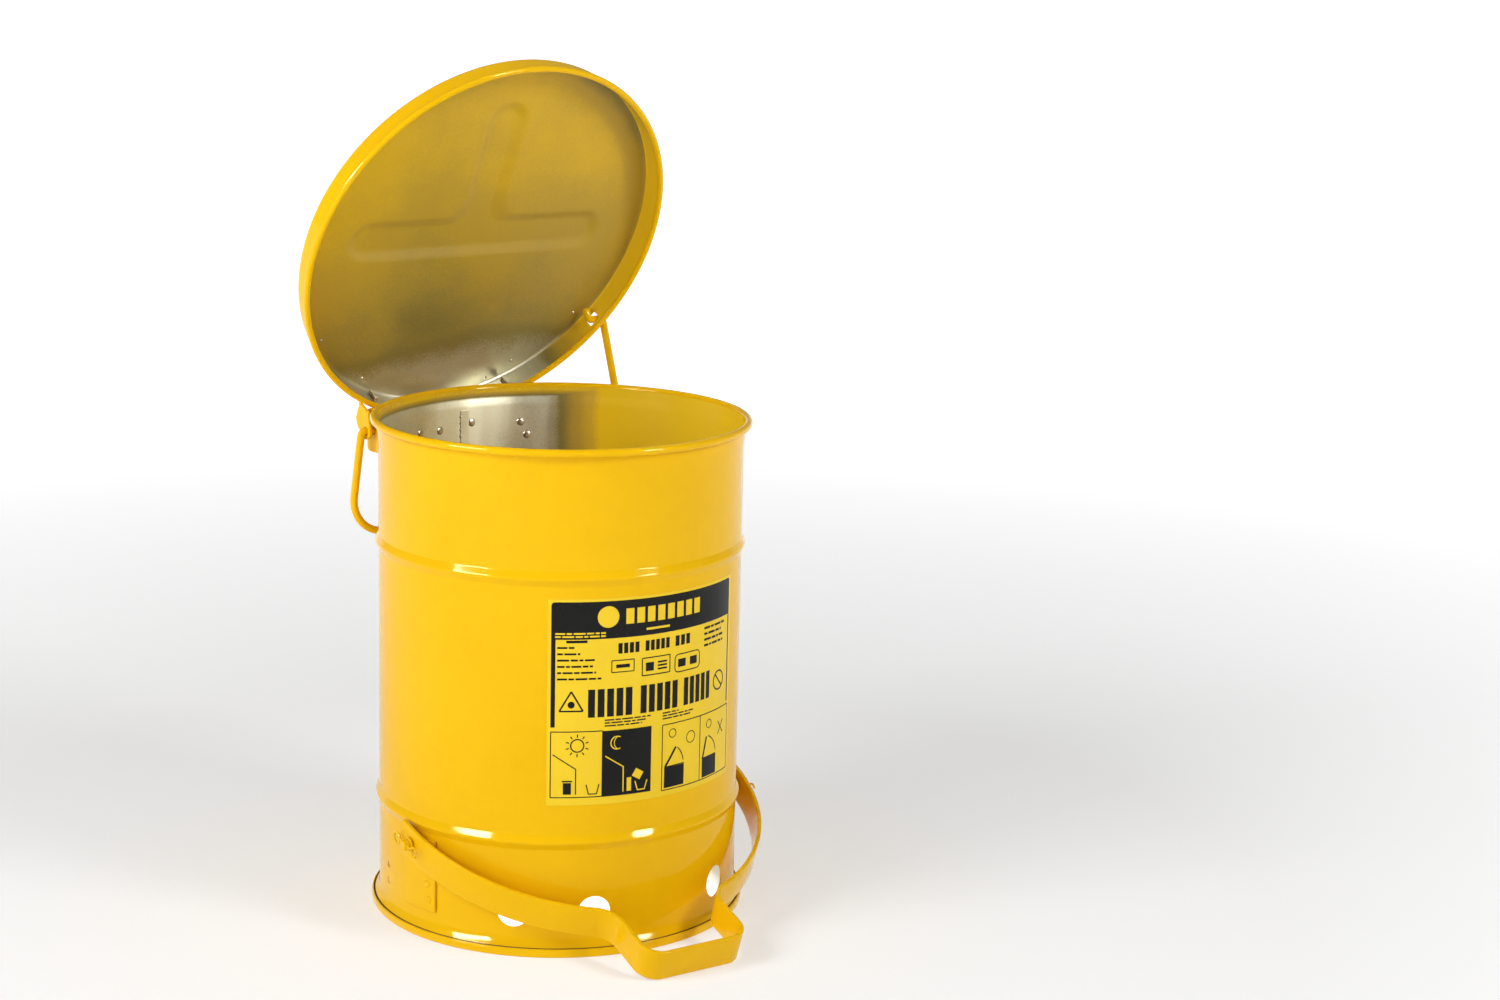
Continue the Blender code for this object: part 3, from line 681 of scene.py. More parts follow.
def can_profile():
    """Outer side from the foot ring up, over the rolled rim, and down inside."""
    def bead(z, steps):
        shares = [-1 + 2 * i / steps for i in range(steps + 1)]
        return [(BODY_R + BEAD_HIGH * bead_share(abs(t)), z + BEAD_HALF * t) for t in shares]

    foot_r = CHIME_R - 4.2 * MM
    outer = [(foot_r, 0.4 * MM), (CHIME_R - 3.8 * MM, 0.0), (CHIME_R - 1.6 * MM, 0.0)]
    outer += arc((CHIME_R - 1.6 * MM, 1.6 * MM), 1.6 * MM, -90, 0, 5)[1:]
    outer += arc((CHIME_R - 1.2 * MM, CHIME_H - 1.4 * MM), 1.2 * MM, 0, 90, 4)
    outer += [
        (CHIME_R - 1.6 * MM, CHIME_H - 1.9 * MM),
        (CHIME_R - 2.1 * MM, CHIME_H - 1.9 * MM),
        (CHIME_R - 2.5 * MM, CHIME_H + 0.1 * MM),
        (BODY_R + 3.3 * MM, CHIME_H + 0.6 * MM),
        (BODY_R + 0.9 * MM, CHIME_H + 4.8 * MM),
        (BODY_R + 0.4 * MM, CHIME_H + 6.0 * MM),
        (BODY_R, CHIME_H + 8.0 * MM),
        (BODY_R, CHIME_H + 30.0 * MM),
        (BODY_R, LOW_BEAD_Z - 12.0 * MM),
    ]
    outer += bead(LOW_BEAD_Z, 40)
    outer += [(BODY_R, LOW_BEAD_Z + 60 * MM), (BODY_R, TOP_BEAD_Z - 60 * MM)]
    outer += bead(TOP_BEAD_Z, 40)
    outer += [(BODY_R, TOP_BEAD_Z + 30 * MM)]
    outer += [(BODY_R + flare * MM, z * MM) for flare, z in NECK_FLARE]
    rim = arc((RIM_R, RIM_Z), RIM_WIRE, -120, 180, 26)
    inner = [
        (BODY_R, 388 * MM), (BODY_R - 0.25 * MM, 386 * MM), (BODY_R - 0.75 * MM, 382 * MM),
        (BODY_R - SHEET, 379 * MM), (BODY_R - SHEET, 330 * MM),
    ]
    for middle in (TOP_BEAD_Z, LOW_BEAD_Z):
        inner += [(r - SHEET, z) for r, z in reversed(bead(middle, 20))]
        inner += [(BODY_R - SHEET, middle - 30 * MM)]
    inner += [(BODY_R - SHEET, CHIME_H + 2 * MM), (foot_r, CHIME_H - 1.5 * MM)]
    return outer + rim + inner


def make_can():
    bm = turned(can_profile())
    bmesh.ops.recalc_face_normals(bm, faces=bm.faces)
    for face in bm.faces:
        centre = face.calc_center_median()
        outward = face.normal.x * centre.x + face.normal.y * centre.y
        reach = hypot(centre.x, centre.y)
        # Faces in the fold at the foot ring and under the rolled rim get the dark crease material: painted
        # shade.
        foot_fold = CHIME_R - 2.4 * MM < reach < CHIME_R - 1.5 * MM
        foot_fold = foot_fold and CHIME_H - 2 * MM < centre.z < CHIME_H
        rim_fold = outward > 0 and reach < BODY_R + 1.5 * MM
        rim_fold = rim_fold and RIM_FOLD_Z[0] < centre.z < RIM_FOLD_Z[1]
        if outward < 0 and centre.z < RIM_Z and reach < BODY_R + 1.6 * MM:
            face.material_index = 1
        elif foot_fold or rim_fold:
            face.material_index = 2
    body = add_mesh("can_shell", bm, "paint can_inside crease", AT_CAN)
    tools = [wall_drum(azimuth, VENT_Z, VENT_R, 9 * MM, 48) for azimuth in VENT_AZIMUTHS]
    tools += [wall_drum(DRAIN_AZIMUTH, z, DRAIN_R, 5 * MM, 20) for z in DRAIN_HEIGHTS]
    # The joint in the rolled rim, above the side seam
    joint = (SEAM_AZIMUTH - 0.4, SEAM_AZIMUTH + 0.4)
    tools.append(band(RIM_R - 4 * MM, RIM_R + 4 * MM, RIM_Z + 2.3 * MM, RIM_Z + 4 * MM, joint, 2))
    cut(body, merged(tools), AT_CAN)
    finish_piece(body, "can", "yellow_paint", "can_body")
    edge = BODY_R - SHEET - 0.3 * MM
    pan = [(0.0, PAN_Z - SHEET), (edge - 6 * MM, PAN_Z - SHEET)]
    pan += arc((edge - 5 * MM, PAN_Z - 5 * MM), 4 * MM, 80, 0, 6)
    pan += [(edge - SHEET, PAN_Z - 9 * MM), (edge, PAN_Z - 9 * MM)]
    pan += arc((edge - 5 * MM, PAN_Z - 5 * MM), 5 * MM, 0, 90, 8)
    pan += [(edge - 20 * MM, PAN_Z), (0.0, PAN_Z)]
    floor = add_mesh("raised_bottom", turned(pan, 128), "pan", AT_CAN)
    finish_piece(floor, "can", "bare_steel", "bottom_pan")


def wall_drum(azimuth, z, radius, reach, steps):
    """A drum through the wall at one azimuth."""
    part = drum(radius, BODY_R - reach, BODY_R + reach, steps)
    part.transform(Matrix.Translation((0, 0, z)) @ Matrix.Rotation(radians(azimuth), 4, "Z"))
    return part


def make_seam():
    """Lapped side seam inside the back, its stitch welds, and the bracket's spot welds."""
    edge = BODY_R - SHEET - 0.15 * MM
    lap = degrees(8.0 * MM / BODY_R)
    sweep = (SEAM_AZIMUTH - lap, SEAM_AZIMUTH)
    lapped = band(edge - 0.7 * MM, edge, PAN_Z + 2 * MM, SEAM_TOP, sweep, 6)
    strip = add_mesh("seam_lap", lapped, "can_inside", AT_CAN)
    finish_piece(strip, "can", "bare_steel", "side_seam_strip")
    marks = []
    z = PAN_Z + 10 * MM
    while z < SEAM_TOP - 4 * MM:
        mark = dome(1.1 * MM, 0.8 * MM, 8)
        mark.transform(at_wall(SEAM_AZIMUTH, z, edge - 0.3 * MM, False) @ Matrix.Rotation(pi, 4, "Z"))
        marks.append(mark)
        z += STITCH_PITCH
    welded("seam_stitches", merged(marks), AT_CAN, "can")
    spots = ((108.4, 364.6), (99.1, 363.4), (86.2, 367.1), (68.6, 365.3), (66.4, 354.3), (113.5, 355.0))
    for i, (azimuth, height) in enumerate(spots):
        inward = dome(3.4 * MM, 0.9 * MM)
        inward.transform(Matrix.Rotation(pi, 4, "Z"))
        welded(f"bracket_weld_{i}", inward, at_wall(azimuth, height * MM, BODY_R - SHEET), "can")


def bracket_outline():
    wall = sqrt(BODY_R**2 - BRACKET_X**2) + 1.0 * MM
    rear = 174.0 * MM
    low, under_lip = 347.0 * MM, 374.3 * MM
    reach = 18.5 * MM
    top = degrees(acos((rear - HINGE_Y) / reach))
    crest = arc((HINGE_Y, HINGE_Z), reach, top, 150.0, 22)
    corner = arc((rear - 4 * MM, low + 4 * MM), 4 * MM, -90, 0, 8)
    return [(wall, low)] + corner + crest + [(wall, under_lip)]


def hinge_plate(name, outline, x, place, shift):
    """A plate square to X, with a hole on the hinge axis."""
    plate = plate_across_x(outline, x, PLATE)
    hole = drum(HINGE_HOLE, -4 * MM, 4 * MM, 40)
    hole.transform(Matrix.Translation((x, HINGE_Y, HINGE_Z)))
    for bm in (plate, hole):
        bm.transform(shift)
    ear = add_mesh(name, plate, "paint", place)
    cut(ear, hole, place)
    return soften(ear, 0.5 * MM)


def make_hinge_bracket():
    half = degrees(asin(BRACKET_X / (BODY_R + PLATE)))
    web = band(BODY_R + 0.1 * MM, BODY_R + PLATE, *WEB_Z, (90 - half, 90 + half), 40)
    painted("hinge_web", web, AT_CAN, "can", "hinge_bracket", edge=0.6 * MM)
    for side, tag in SIDES:
        x = side * BRACKET_X
        ear = hinge_plate(f"hinge_plate_{tag}", bracket_outline(), x, AT_CAN, Matrix())
        finish_piece(ear, "can", "yellow_paint")


# ---- lid

def blend_min(a, b, k):
    h = max(k - abs(a - b), 0.0) / k
    return min(a, b) - h * h * k * 0.25


def bar_distance(x, y, centre, half_x, half_y, corner):
    dx = abs(x - centre[0]) - half_x + corner
    dy = abs(y - centre[1]) - half_y + corner
    return hypot(max(dx, 0.0), max(dy, 0.0)) + min(max(dx, dy), 0.0) - corner


def tee_height(x, y):
    """Height of the pressed T at a point of the panel."""
    bar = bar_distance(x, y, (0, TEE_BAR[2]), TEE_BAR[0], TEE_BAR[1], TEE_BAR[1])
    half, end, middle = TEE_STEM
    stem = bar_distance(x, y, (middle, end / 2), half, -end / 2, half)
    inside = -blend_min(bar, stem, TEE_FILLET) / TEE_SLOPE
    t = min(max(inside, 0.0), 1.0)
    return TEE_HIGH * (0.65 * t + 0.35 * t * t * (3 - 2 * t))


def lid_profile():
    corner = (FLANGE_R - LID_CORNER, PANEL_Z - LID_CORNER)
    rings = 74
    panel = [(corner[0] * i / rings, PANEL_Z) for i in range(rings)]
    under = [(r, PANEL_Z - LID_SHEET) for r, _ in reversed(panel)]
    outer = panel + arc(corner, LID_CORNER, 90, 0, 10)
    outer += [(FLANGE_R, 390 * MM), (FLANGE_R, 384 * MM)]
    lip = arc((LIP_R, LIP_Z), LIP_WIRE, 124, -200, 26)
    inside = [(FLANGE_R - LID_SHEET, 384 * MM), (FLANGE_R - LID_SHEET, 390 * MM)]
    inside += arc(corner, LID_CORNER - LID_SHEET, 0, 90, 8)
    return outer + lip + inside + under


def tab_outline(grow):
    tab_y = sqrt(FLANGE_R**2 - TAB_SLOT_X**2)
    low, high = TAB_Z[0] - grow, TAB_Z[1] + grow
    back, front = tab_y + 2 * MM + grow, tab_y - 5 * MM - grow
    return [(front, low), (back, low), (back, high), (front, high)]


def ear_outline():
    flange = sqrt(FLANGE_R**2 - (EAR_X - PLATE / 2) ** 2) + 0.4 * MM
    lip_top = LIP_Z + LIP_WIRE + 0.3 * MM
    round_hole = arc((HINGE_Y, HINGE_Z), 7.0 * MM, -125, 40, 20)
    return [(148.3 * MM, 369 * MM)] + round_hole + [
        (168.0 * MM, 377.0 * MM), (162.8 * MM, 383.1 * MM), (150.6 * MM, 383.1 * MM),
        (147.4 * MM, 386.0 * MM), (147.4 * MM, 393.0 * MM), (flange, 394.0 * MM),
        (flange, lip_top), (148.3 * MM, lip_top),
    ]


def lid_place():
    """Matrix of lid coordinates: from the hinge axis, in the closed lid's own directions."""
    return AT_HINGE @ Matrix.Rotation(-LID_OPEN, 4, "X")


def make_lid():
    place = lid_place()
    to_axis = Matrix.Translation((0, -HINGE_Y, -HINGE_Z))
    bm = turned(lid_profile(), 288)
    for vert in bm.verts:
        if vert.co.z > PANEL_Z - LID_SHEET - 0.01 * MM:
            vert.co.z += tee_height(vert.co.x, vert.co.y)
    bmesh.ops.recalc_face_normals(bm, faces=bm.faces)
    for face in bm.faces:
        centre = face.calc_center_median()
        reach = hypot(centre.x, centre.y)
        under = reach < FLANGE_R - LID_CORNER and face.normal.z < 0
        inner = centre.z > LIP_Z + LIP_WIRE * 0.6 and reach < FLANGE_R - 0.5 * MM
        facing_in = face.normal.x * centre.x + face.normal.y * centre.y < -1e-5 * reach
        if under or (inner and facing_in and centre.z > PANEL_Z - 2.5 * MM):
            face.material_index = 1
        elif inner and facing_in:
            face.material_index = 2
    bm.transform(to_axis)
    lid = add_mesh("lid_pressing", bm, "paint lid_inside flange_inside", place)
    slots = [band(FLANGE_R - 4 * MM, FLANGE_R + 4 * MM, *ROD_SLOT_Z, ROD_SLOT, 12)]
    slots += [plate_across_x(tab_outline(0.5 * MM), s * TAB_SLOT_X, PLATE + 0.6 * MM) for s in (-1, 1)]
    tools = merged(slots)
    tools.transform(to_axis)
    cut(lid, tools, place)
    finish_piece(lid, "lid", "yellow_paint", "lid_shell")
    for side, tag in SIDES:
        x = side * EAR_X
        ear = hinge_plate(f"lid_ear_plate_{tag}", ear_outline(), x, place, to_axis)
        finish_piece(ear, "lid", "yellow_paint", f"lid_ear_{tag}")
        ends = [90 - side * degrees(asin(e / FLANGE_R)) for e in (EAR_X, TAB_SLOT_X)]
        foot = band(FLANGE_R + 0.1 * MM, FLANGE_R + PLATE, *TAB_Z, sorted(ends), 8)
        foot.transform(to_axis)
        painted(f"lid_ear_foot_{tag}", foot, place, "lid", edge=0.5 * MM)
        tab = plate_across_x(tab_outline(0.0), side * TAB_SLOT_X, PLATE)
        tab.transform(to_axis)
        soften(welded(f"lid_ear_tab_{tag}", tab, place, "lid"), 0.5 * MM)
    make_lid_welds(place)


def make_lid_welds(place):
    spots = ((-123, 93), (-74, 135), (53, 147), (73.5, 132), (124, 87))
    for i, (x, y) in enumerate(spots):
        dot = dome(1.5 * MM, 0.8 * MM, 16)
        dot.transform(Matrix.Rotation(pi / 2, 4, "Y"))
        at = Vector((x * MM, y * MM - HINGE_Y, PANEL_Z - LID_SHEET - HINGE_Z))
        welded(f"lid_weld_{i}", dot, place @ Matrix.Translation(at), "lid")


# ---- bail, rod and pedal

def make_bail():
    low, foot = -BAIL_DROP, BAIL_X + BAIL_SPLAY
    corners = [
        Vector((-BAIL_END_X, 0, 0)), Vector((-BAIL_X, 0, 0)), Vector((-foot, 0, low)),
        Vector((foot, 0, low)), Vector((BAIL_X, 0, 0)), Vector((BAIL_END_X, 0, 0)),
    ]
    shoulder = 4.2 * MM
    near = bent(corners[:3], shoulder)[:-1]
    round_low = bent(corners[1:5], BAIL_BEND, 18)[1:-1]
    far = bent(corners[3:], shoulder)[1:]
    loop = wire(near + round_low + far, WIRE_R)
    painted("bail_wire", loop, AT_HINGE, "handle", "bail_handle")
    for side, tag in SIDES:
        inner = side * (BRACKET_X - PLATE / 2 - 0.6 * MM)
        nut = collar(6.5 * MM, WIRE_R + 0.2 * MM, inner, inner - side * 1.2 * MM)
        painted(f"push_nut_{tag}", nut, AT_HINGE, "handle", f"bail_retainer_{tag}")


def strap_path():
    """Centreline of the strap in the pedal's plane."""
    near_x = NEAR_FACE + STRAP_T / 2
    far_x = FAR_FACE - STRAP_T / 2
    both = HUG_R + NECK_R
    near_angle = degrees(acos(1 - (-TREAD_HALF - near_x) / both))
    far_angle = degrees(acos(1 - (far_x - TREAD_HALF) / both))
    near_leg = HUG_START - both * sin(radians(near_angle))
    far_leg = HUG_START - both * sin(radians(far_angle))
    corner = TREAD_HALF - TREAD_BEND
    path = arc((near_x + HUG_R, HUG_START), HUG_R, 180, 180 + near_angle, 44)
    path += arc((-TREAD_HALF - NECK_R, near_leg), NECK_R, near_angle, 0, 14)
    path += arc((-corner, TREAD_Y + TREAD_BEND), TREAD_BEND, 180, 270, 14)
    path += arc((corner, TREAD_Y + TREAD_BEND), TREAD_BEND, 270, 360, 14)
    path += arc((TREAD_HALF + NECK_R, far_leg), NECK_R, 180, 180 - far_angle, 14)
    path += arc((far_x - HUG_R, HUG_START), HUG_R, -far_angle, 0, 48)
    tidy = [path[0]]
    for point in path[1:] + [(far_x, HUG_START + 50 * MM), (far_x, ARM_END)]:
        if hypot(point[0] - tidy[-1][0], point[1] - tidy[-1][1]) > 0.05 * MM:
            tidy.append(point)
    return tidy


def strap_mesh():
    """The strap on edge, with its long edges rolled over."""
    path = [Vector(point) for point in strap_path()]
    half_t, half_w, edge = STRAP_T / 2, STRAP_W / 2, STRAP_EDGE
    section = []
    for cx, cy, start in ((1, 1, 0), (-1, 1, 90), (-1, -1, 180), (1, -1, 270)):
        section += arc((cx * (half_t - edge), cy * (half_w - edge)), edge, start, start + 90, 4)
    bm = bmesh.new()
    rings = []
    for i, here in enumerate(path):
        ahead = (path[min(i + 1, len(path) - 1)] - here).normalized()
        behind = (here - path[max(i - 1, 0)]).normalized()
        behind = ahead if i == 0 else behind
        ahead = behind if i == len(path) - 1 else ahead
        normal_a = Vector((-behind.y, behind.x))
        normal_b = Vector((-ahead.y, ahead.x))
        across = (normal_a + normal_b) / (1 + normal_a.dot(normal_b))
        rings.append([
            bm.verts.new((here.x + across.x * s, here.y + across.y * s, z)) for s, z in section
        ])
    return skinned(bm, rings)


def pivot_place():
    return Matrix.Translation(PIVOT) @ Matrix.Rotation(PEDAL_TURN, 4, "Z")


def make_pedal():
    place = pivot_place() @ Matrix.Rotation(PEDAL_TILT, 4, "X")
    strap = add_mesh("pedal_bar", strap_mesh(), "paint", place)
    tools = []
    rod_hole = WIRE_R + 0.725 * MM
    for x, y, radius in ((NEAR_FACE, 0, PIN_HOLE), (FAR_FACE, 0, PIN_HOLE), (FAR_FACE, ROD_ARM, rod_hole)):
        hole = drum(radius, -8 * MM, 8 * MM, 36)
        hole.transform(Matrix.Translation((x, y, 0)))
        tools.append(hole)
    cut(strap, merged(tools), place)
    finish_piece(strap, "pedal", "yellow_paint", "pedal_strap")


def cotter_path(half):
    """One half of a split pin along Y: its side of the eye, the shank, and the leg curled back."""
    gap = half * COTTER_R * 0.9
    eye = COTTER_REACH + COTTER_EYE
    back = [Vector((0, eye - COTTER_EYE * cos(a), half * COTTER_EYE * sin(a)))
            for a in [radians(176 - 11 * i) for i in range(15)]]
    front = [Vector((0, -eye + COTTER_EYE * 0.9 * cos(a), half * COTTER_EYE * 0.9 * sin(a)))
             for a in [radians(24 + 11 * i) for i in range(13)]]
    return back + [Vector((0, COTTER_REACH - 3 * MM, gap)), Vector((0, 3 * MM - COTTER_REACH, gap))] + front


def make_pivot(tag, side, face, end):
    place = pivot_place()
    wall_point = place @ Vector((side * BODY_R, 0, 0)) - AXIS
    azimuth = degrees(atan2(wall_point.y, wall_point.x))
    spread = (azimuth - PLATE_HALF_ANGLE, azimuth + PLATE_HALF_ANGLE)
    blank = band(BODY_R + 0.1 * MM, BODY_R + PLATE, *PLATE_Z, spread, 16)
    plate = add_mesh(f"pivot_plate_{tag}", blank, "paint", AT_CAN)
    soften(plate, 0.9 * MM, 4)
    finish_piece(plate, "can", "yellow_paint", f"pivot_bracket_{tag}")
    for i, (shift, z) in enumerate(((-side * 4.9, 31.6), (-side * 4.3, 44.3))):
        spot = at_wall(azimuth + shift, z * MM, BODY_R + PLATE - 0.1 * MM)
        painted(f"plate_weld_{tag}_{i}", dome(3.0 * MM, 1.1 * MM), spot, "can")
    shank = drum(PIN_R, side * PIN_ROOT, end, 36, 0.6 * MM)
    painted(f"hinge_pin_{tag}", shank, place, "can", f"pivot_pin_{tag}")
    start = face + side * 0.3 * MM
    washer = collar(WASHER_R, PIN_R + 0.2 * MM, start, start + side * WASHER_T)
    painted(f"washer_{tag}", washer, place, "can", f"pivot_washer_{tag}")
    cross = place @ Matrix.Translation((end - side * COTTER_INSET, 0, 0))
    cross = cross @ Matrix.Rotation(COTTER_TILT, 4, "X")
    for half, part in ((1, "a"), (-1, "b")):
        leg = wire(cotter_path(half), COTTER_R, 14)
        nodes = [f"split_pin_{tag}"] if half == 1 else []
        painted(f"split_pin_{tag}_{part}", leg, cross, "can", *nodes)
    if side > 0:
        spacer = collar(SPACER_R, PIN_R + 0.2 * MM, SPACER_ROOT, SPACER_END, 40, 0.8 * MM)
        painted("pivot_sleeve", spacer, place, "can", "pivot_spacer_far")


def make_rod():
    along = Vector((cos(PEDAL_TURN), sin(PEDAL_TURN), 0))
    hook = ROD_FOOT + along * (ROD_HOOK - ROD_X)
    head = lid_place() @ (ROD_TOP - Vector((0, HINGE_Y, HINGE_Z)))
    leg = (head - ROD_FOOT).normalized()
    inside = head - Vector((ROD_TOP.x - ROD_INSIDE, 0, 0))
    corners = [hook, ROD_FOOT, head, inside, inside + leg * ROD_STUB]
    path = [p - ROD_FOOT for p in bent(corners, ROD_BEND)]
    place = Matrix.Translation(ROD_FOOT)
    painted("lift_wire", wire(path, WIRE_R), place, "rod", "lift_rod")
    inward = place @ Matrix.Rotation(pi + PEDAL_TURN, 4, "Z")
    reach = ROD_X - FAR_FACE + STRAP_T
    for name, start, radius, thick, node in (
        ("rod_foot_washer", reach + 0.6 * MM, WASHER_R, WASHER_T, "rod_washer"),
        ("rod_foot_clip", reach + WASHER_T + 1 * MM, 6 * MM, 1.2 * MM, "rod_retainer"),
    ):
        ring = collar(radius, WIRE_R + 0.2 * MM, start, start + thick)
        painted(name, ring, inward, "rod", node)


# ---- label

def wrapped(outline, layer):
    """A flat (u, v) polygon in mm, cut into narrow strips and wrapped on the can."""
    bm = bmesh.new()
    verts = [bm.verts.new((u, v, 0.0)) for u, v in outline]
    bm.faces.new(verts)
    low, high = min(u for u, _ in outline), max(u for u, _ in outline)
    step = low + PRINT_STRIP
    while step < high:
        parts = bm.verts[:] + bm.edges[:] + bm.faces[:]
        bmesh.ops.bisect_plane(bm, geom=parts, plane_co=(step, 0, 0), plane_no=(1, 0, 0), dist=1e-5)
        step += PRINT_STRIP
    return wrap(bm, layer)


def wrap(bm, layer):
    radius = FILM_R + layer * INK_STEP
    for vert in bm.verts:
        angle = radians(LABEL_AZIMUTHS[0]) + vert.co.x * MM / BODY_R
        z = LABEL_Z[0] + vert.co.y * MM
        vert.co = Vector((radius * cos(angle), radius * sin(angle), z))
    return bm


def rect(u0, v0, u1, v1):
    return [(u0, v0), (u1, v0), (u1, v1), (u0, v1)]


def round_rect(u0, v0, u1, v1, r, steps=6):
    right, left, top, low = u1 - r, u0 + r, v1 - r, v0 + r
    corners = ((right, top, 0), (left, top, 90), (left, low, 180), (right, low, 270))
    return [p for u, v, start in corners for p in arc((u, v), r, start, start + 90, steps)]


def disc(u, v, r, steps=40):
    return arc((u, v), r, 0, 360 - 360 / steps, steps - 1)


def stroke(a, b, width):
    line = Vector(b) - Vector(a)
    off = Vector((-line.y, line.x)).normalized() * width / 2
    return [tuple(Vector(end) + shift) for end, shift in ((a, -off), (b, -off), (b, off), (a, off))]


def strokes(width, *lines):
    return [stroke(start, end, width) for start, end in lines]


def boxes(*corners):
    return [rect(*corner) for corner in corners]


def outline_of(points, width):
    """Strokes round a closed outline."""
    return [stroke(a, b, width) for a, b in zip(points, points[1:] + points[:1])]


def ring_band(u, v, r_out, r_in, start=0, end=360, steps=40):
    """Quads of a flat ring, or of a stretch of one."""
    outer, inner = arc((u, v), r_out, start, end, steps), arc((u, v), r_in, start, end, steps)
    return [[outer[i], outer[i + 1], inner[i + 1], inner[i]] for i in range(steps)]


def text_bars(u0, u1, v_top, rows, height, pitch, lengths):
    """Rows of plain bars that stand for lines of small print."""
    shapes = []
    for i in range(rows):
        v = v_top - i * pitch
        u = u0
        end = u0 + (u1 - u0) * lengths[i % len(lengths)]
        words = (7.5, 4.2, 9.0, 5.5, 3.0)
        j = i
        while u < end - 1.0:
            word = min(words[j % len(words)], end - u)
            shapes.append(rect(u, v - height, u + word, v))
            u += word + 1.1
            j += 1
    return shapes


def columns(words, v_low, v_high):
    """Plain upright blocks in groups, where large words would stand."""
    shapes = []
    for start, end, count in words:
        pitch = (end - start) / count
        for i in range(count):
            u = start + pitch * i
            shapes.append(rect(u, v_low, u + pitch * 0.72, v_high))
    return shapes


def black_shapes():
    """Everything printed in black straight on the yellow film."""
    # Header strip, side bars and small print
    shapes = [round_rect(2.7, 130.6, 174.2, 159.6, 2.6)]
    shapes += boxes((2.7, 62, 6.0, 133), (172.4, 59.5, 174.2, 133), (14, 127.9, 30, 129.9))
    shapes += text_bars(7.4, 42, 125.0, 6, 1.5, 4.9, (0.42, 0.5, 0.82, 0.78, 0.85, 1.0))
    shapes += text_bars(136, 166, 127.5, 4, 1.9, 4.6, (1.0, 0.8, 0.9, 0.9))
    shapes += text_bars(44.0, 82.0, 67.2, 3, 1.1, 2.3, (1.0, 0.9, 0.8))
    shapes += text_bars(92.8, 124.0, 67.2, 3, 1.1, 2.3, (0.5, 1.0, 0.9))
    # Plain bars in place of the title and the large line of words
    shapes += columns(((54.0, 72.5, 4), (76.5, 99.5, 5), (104.0, 120.5, 3)), 118.2, 126.4)
    shapes += columns(((31.0, 68.0, 5), (73.0, 109.0, 5), (113.5, 146.0, 5)), 69.3, 91.3)
    # Plain frames in place of the approval marks
    shapes += outline_of(rect(49.0, 103.8, 67.0, 113.0), 0.8)
    shapes += outline_of(rect(73.9, 98.9, 98.8, 112.6), 0.9)
    shapes += outline_of(round_rect(103.8, 97.2, 130.4, 111.2, 3.4, 4), 0.9)
    shapes += boxes((52.5, 107.0, 63.5, 109.8), (77.0, 102.1, 84.0, 108.9))
    shapes += boxes(*[(87.5, low, 96.0, low + 1.4) for low in (107.5, 104.8, 102.1)])
    shapes += boxes((107.0, 101.0, 114.8, 107.4), (119.4, 101.0, 127.2, 107.4))
    # Triangle and struck-out ring at the ends of the large line
    shapes += outline_of([(9.2, 74.6), (27.2, 74.6), (18.2, 90.0)], 1.3) + [disc(18.2, 79.6, 2.7, 24)]
    shapes += ring_band(157.6, 80.5, 8.2, 6.9) + [stroke((152.3, 86.0), (162.9, 75.0), 1.3)]
    # Left pair of panels: a sun, a wall, a shut can and an open bin
    shapes += outline_of(rect(3.0, 6.4, 42.6, 58.4), 0.8) + [rect(42.6, 6.0, 82.9, 58.2)]
    sun = Vector((23.2, 47.4))
    shapes += ring_band(*sun, 5.5, 4.5, 0, 360, 32)
    for i in range(10):
        turn = 2 * pi * i / 10 + 0.3
        ray = Vector((cos(turn), sin(turn)))
        shapes.append(stroke(sun + ray * 6.6, sun + ray * 9.0, 0.9))
    shapes += strokes(0.9, ((4.6, 40.5), (22.2, 28.8)), ((22.2, 28.9), (22.2, 8.8)))
    shapes += boxes((12.6, 8.8, 18.8, 18.0), (11.8, 18.6, 19.6, 19.8))
    shapes += strokes(
        0.9, ((30.3, 16.4), (32.1, 8.6)), ((32.0, 8.7), (38.5, 8.7)), ((38.4, 8.6), (40.2, 16.4)))
    # Right pair of panels: the lid open at a small angle and at a large one
    shapes += outline_of(rect(93.0, 4.4, 175.0, 57.0), 0.8)
    shapes += strokes(
        0.8, ((133.2, 4.4), (133.2, 57.0)), ((95.4, 22.9), (114.8, 23.2)), ((136.6, 21.5), (155.6, 21.5)))
    shapes += boxes((95.2, 6.0, 115.0, 22.6), (136.4, 5.6, 155.8, 21.2))
    shapes += strokes(1.9, ((95.9, 22.8), (106.4, 37.6)), ((137.0, 21.2), (141.8, 38.0)))
    shapes += ring_band(96.4, 23.0, 18.4, 17.5, 8, 50, 16) + ring_band(137.4, 21.6, 18.4, 17.5, 8, 68, 20)
    for u, v, radius in ((102.8, 49.1, 3.7), (122.1, 42.6, 5.0), (144.8, 48.0, 3.7)):
        shapes += ring_band(u, v, radius, radius - 0.7, 0, 360, 28)
    shapes += strokes(1.0, ((158.6, 36.0), (166.8, 46.6)), ((158.6, 46.6), (166.8, 36.0)))
    return shapes


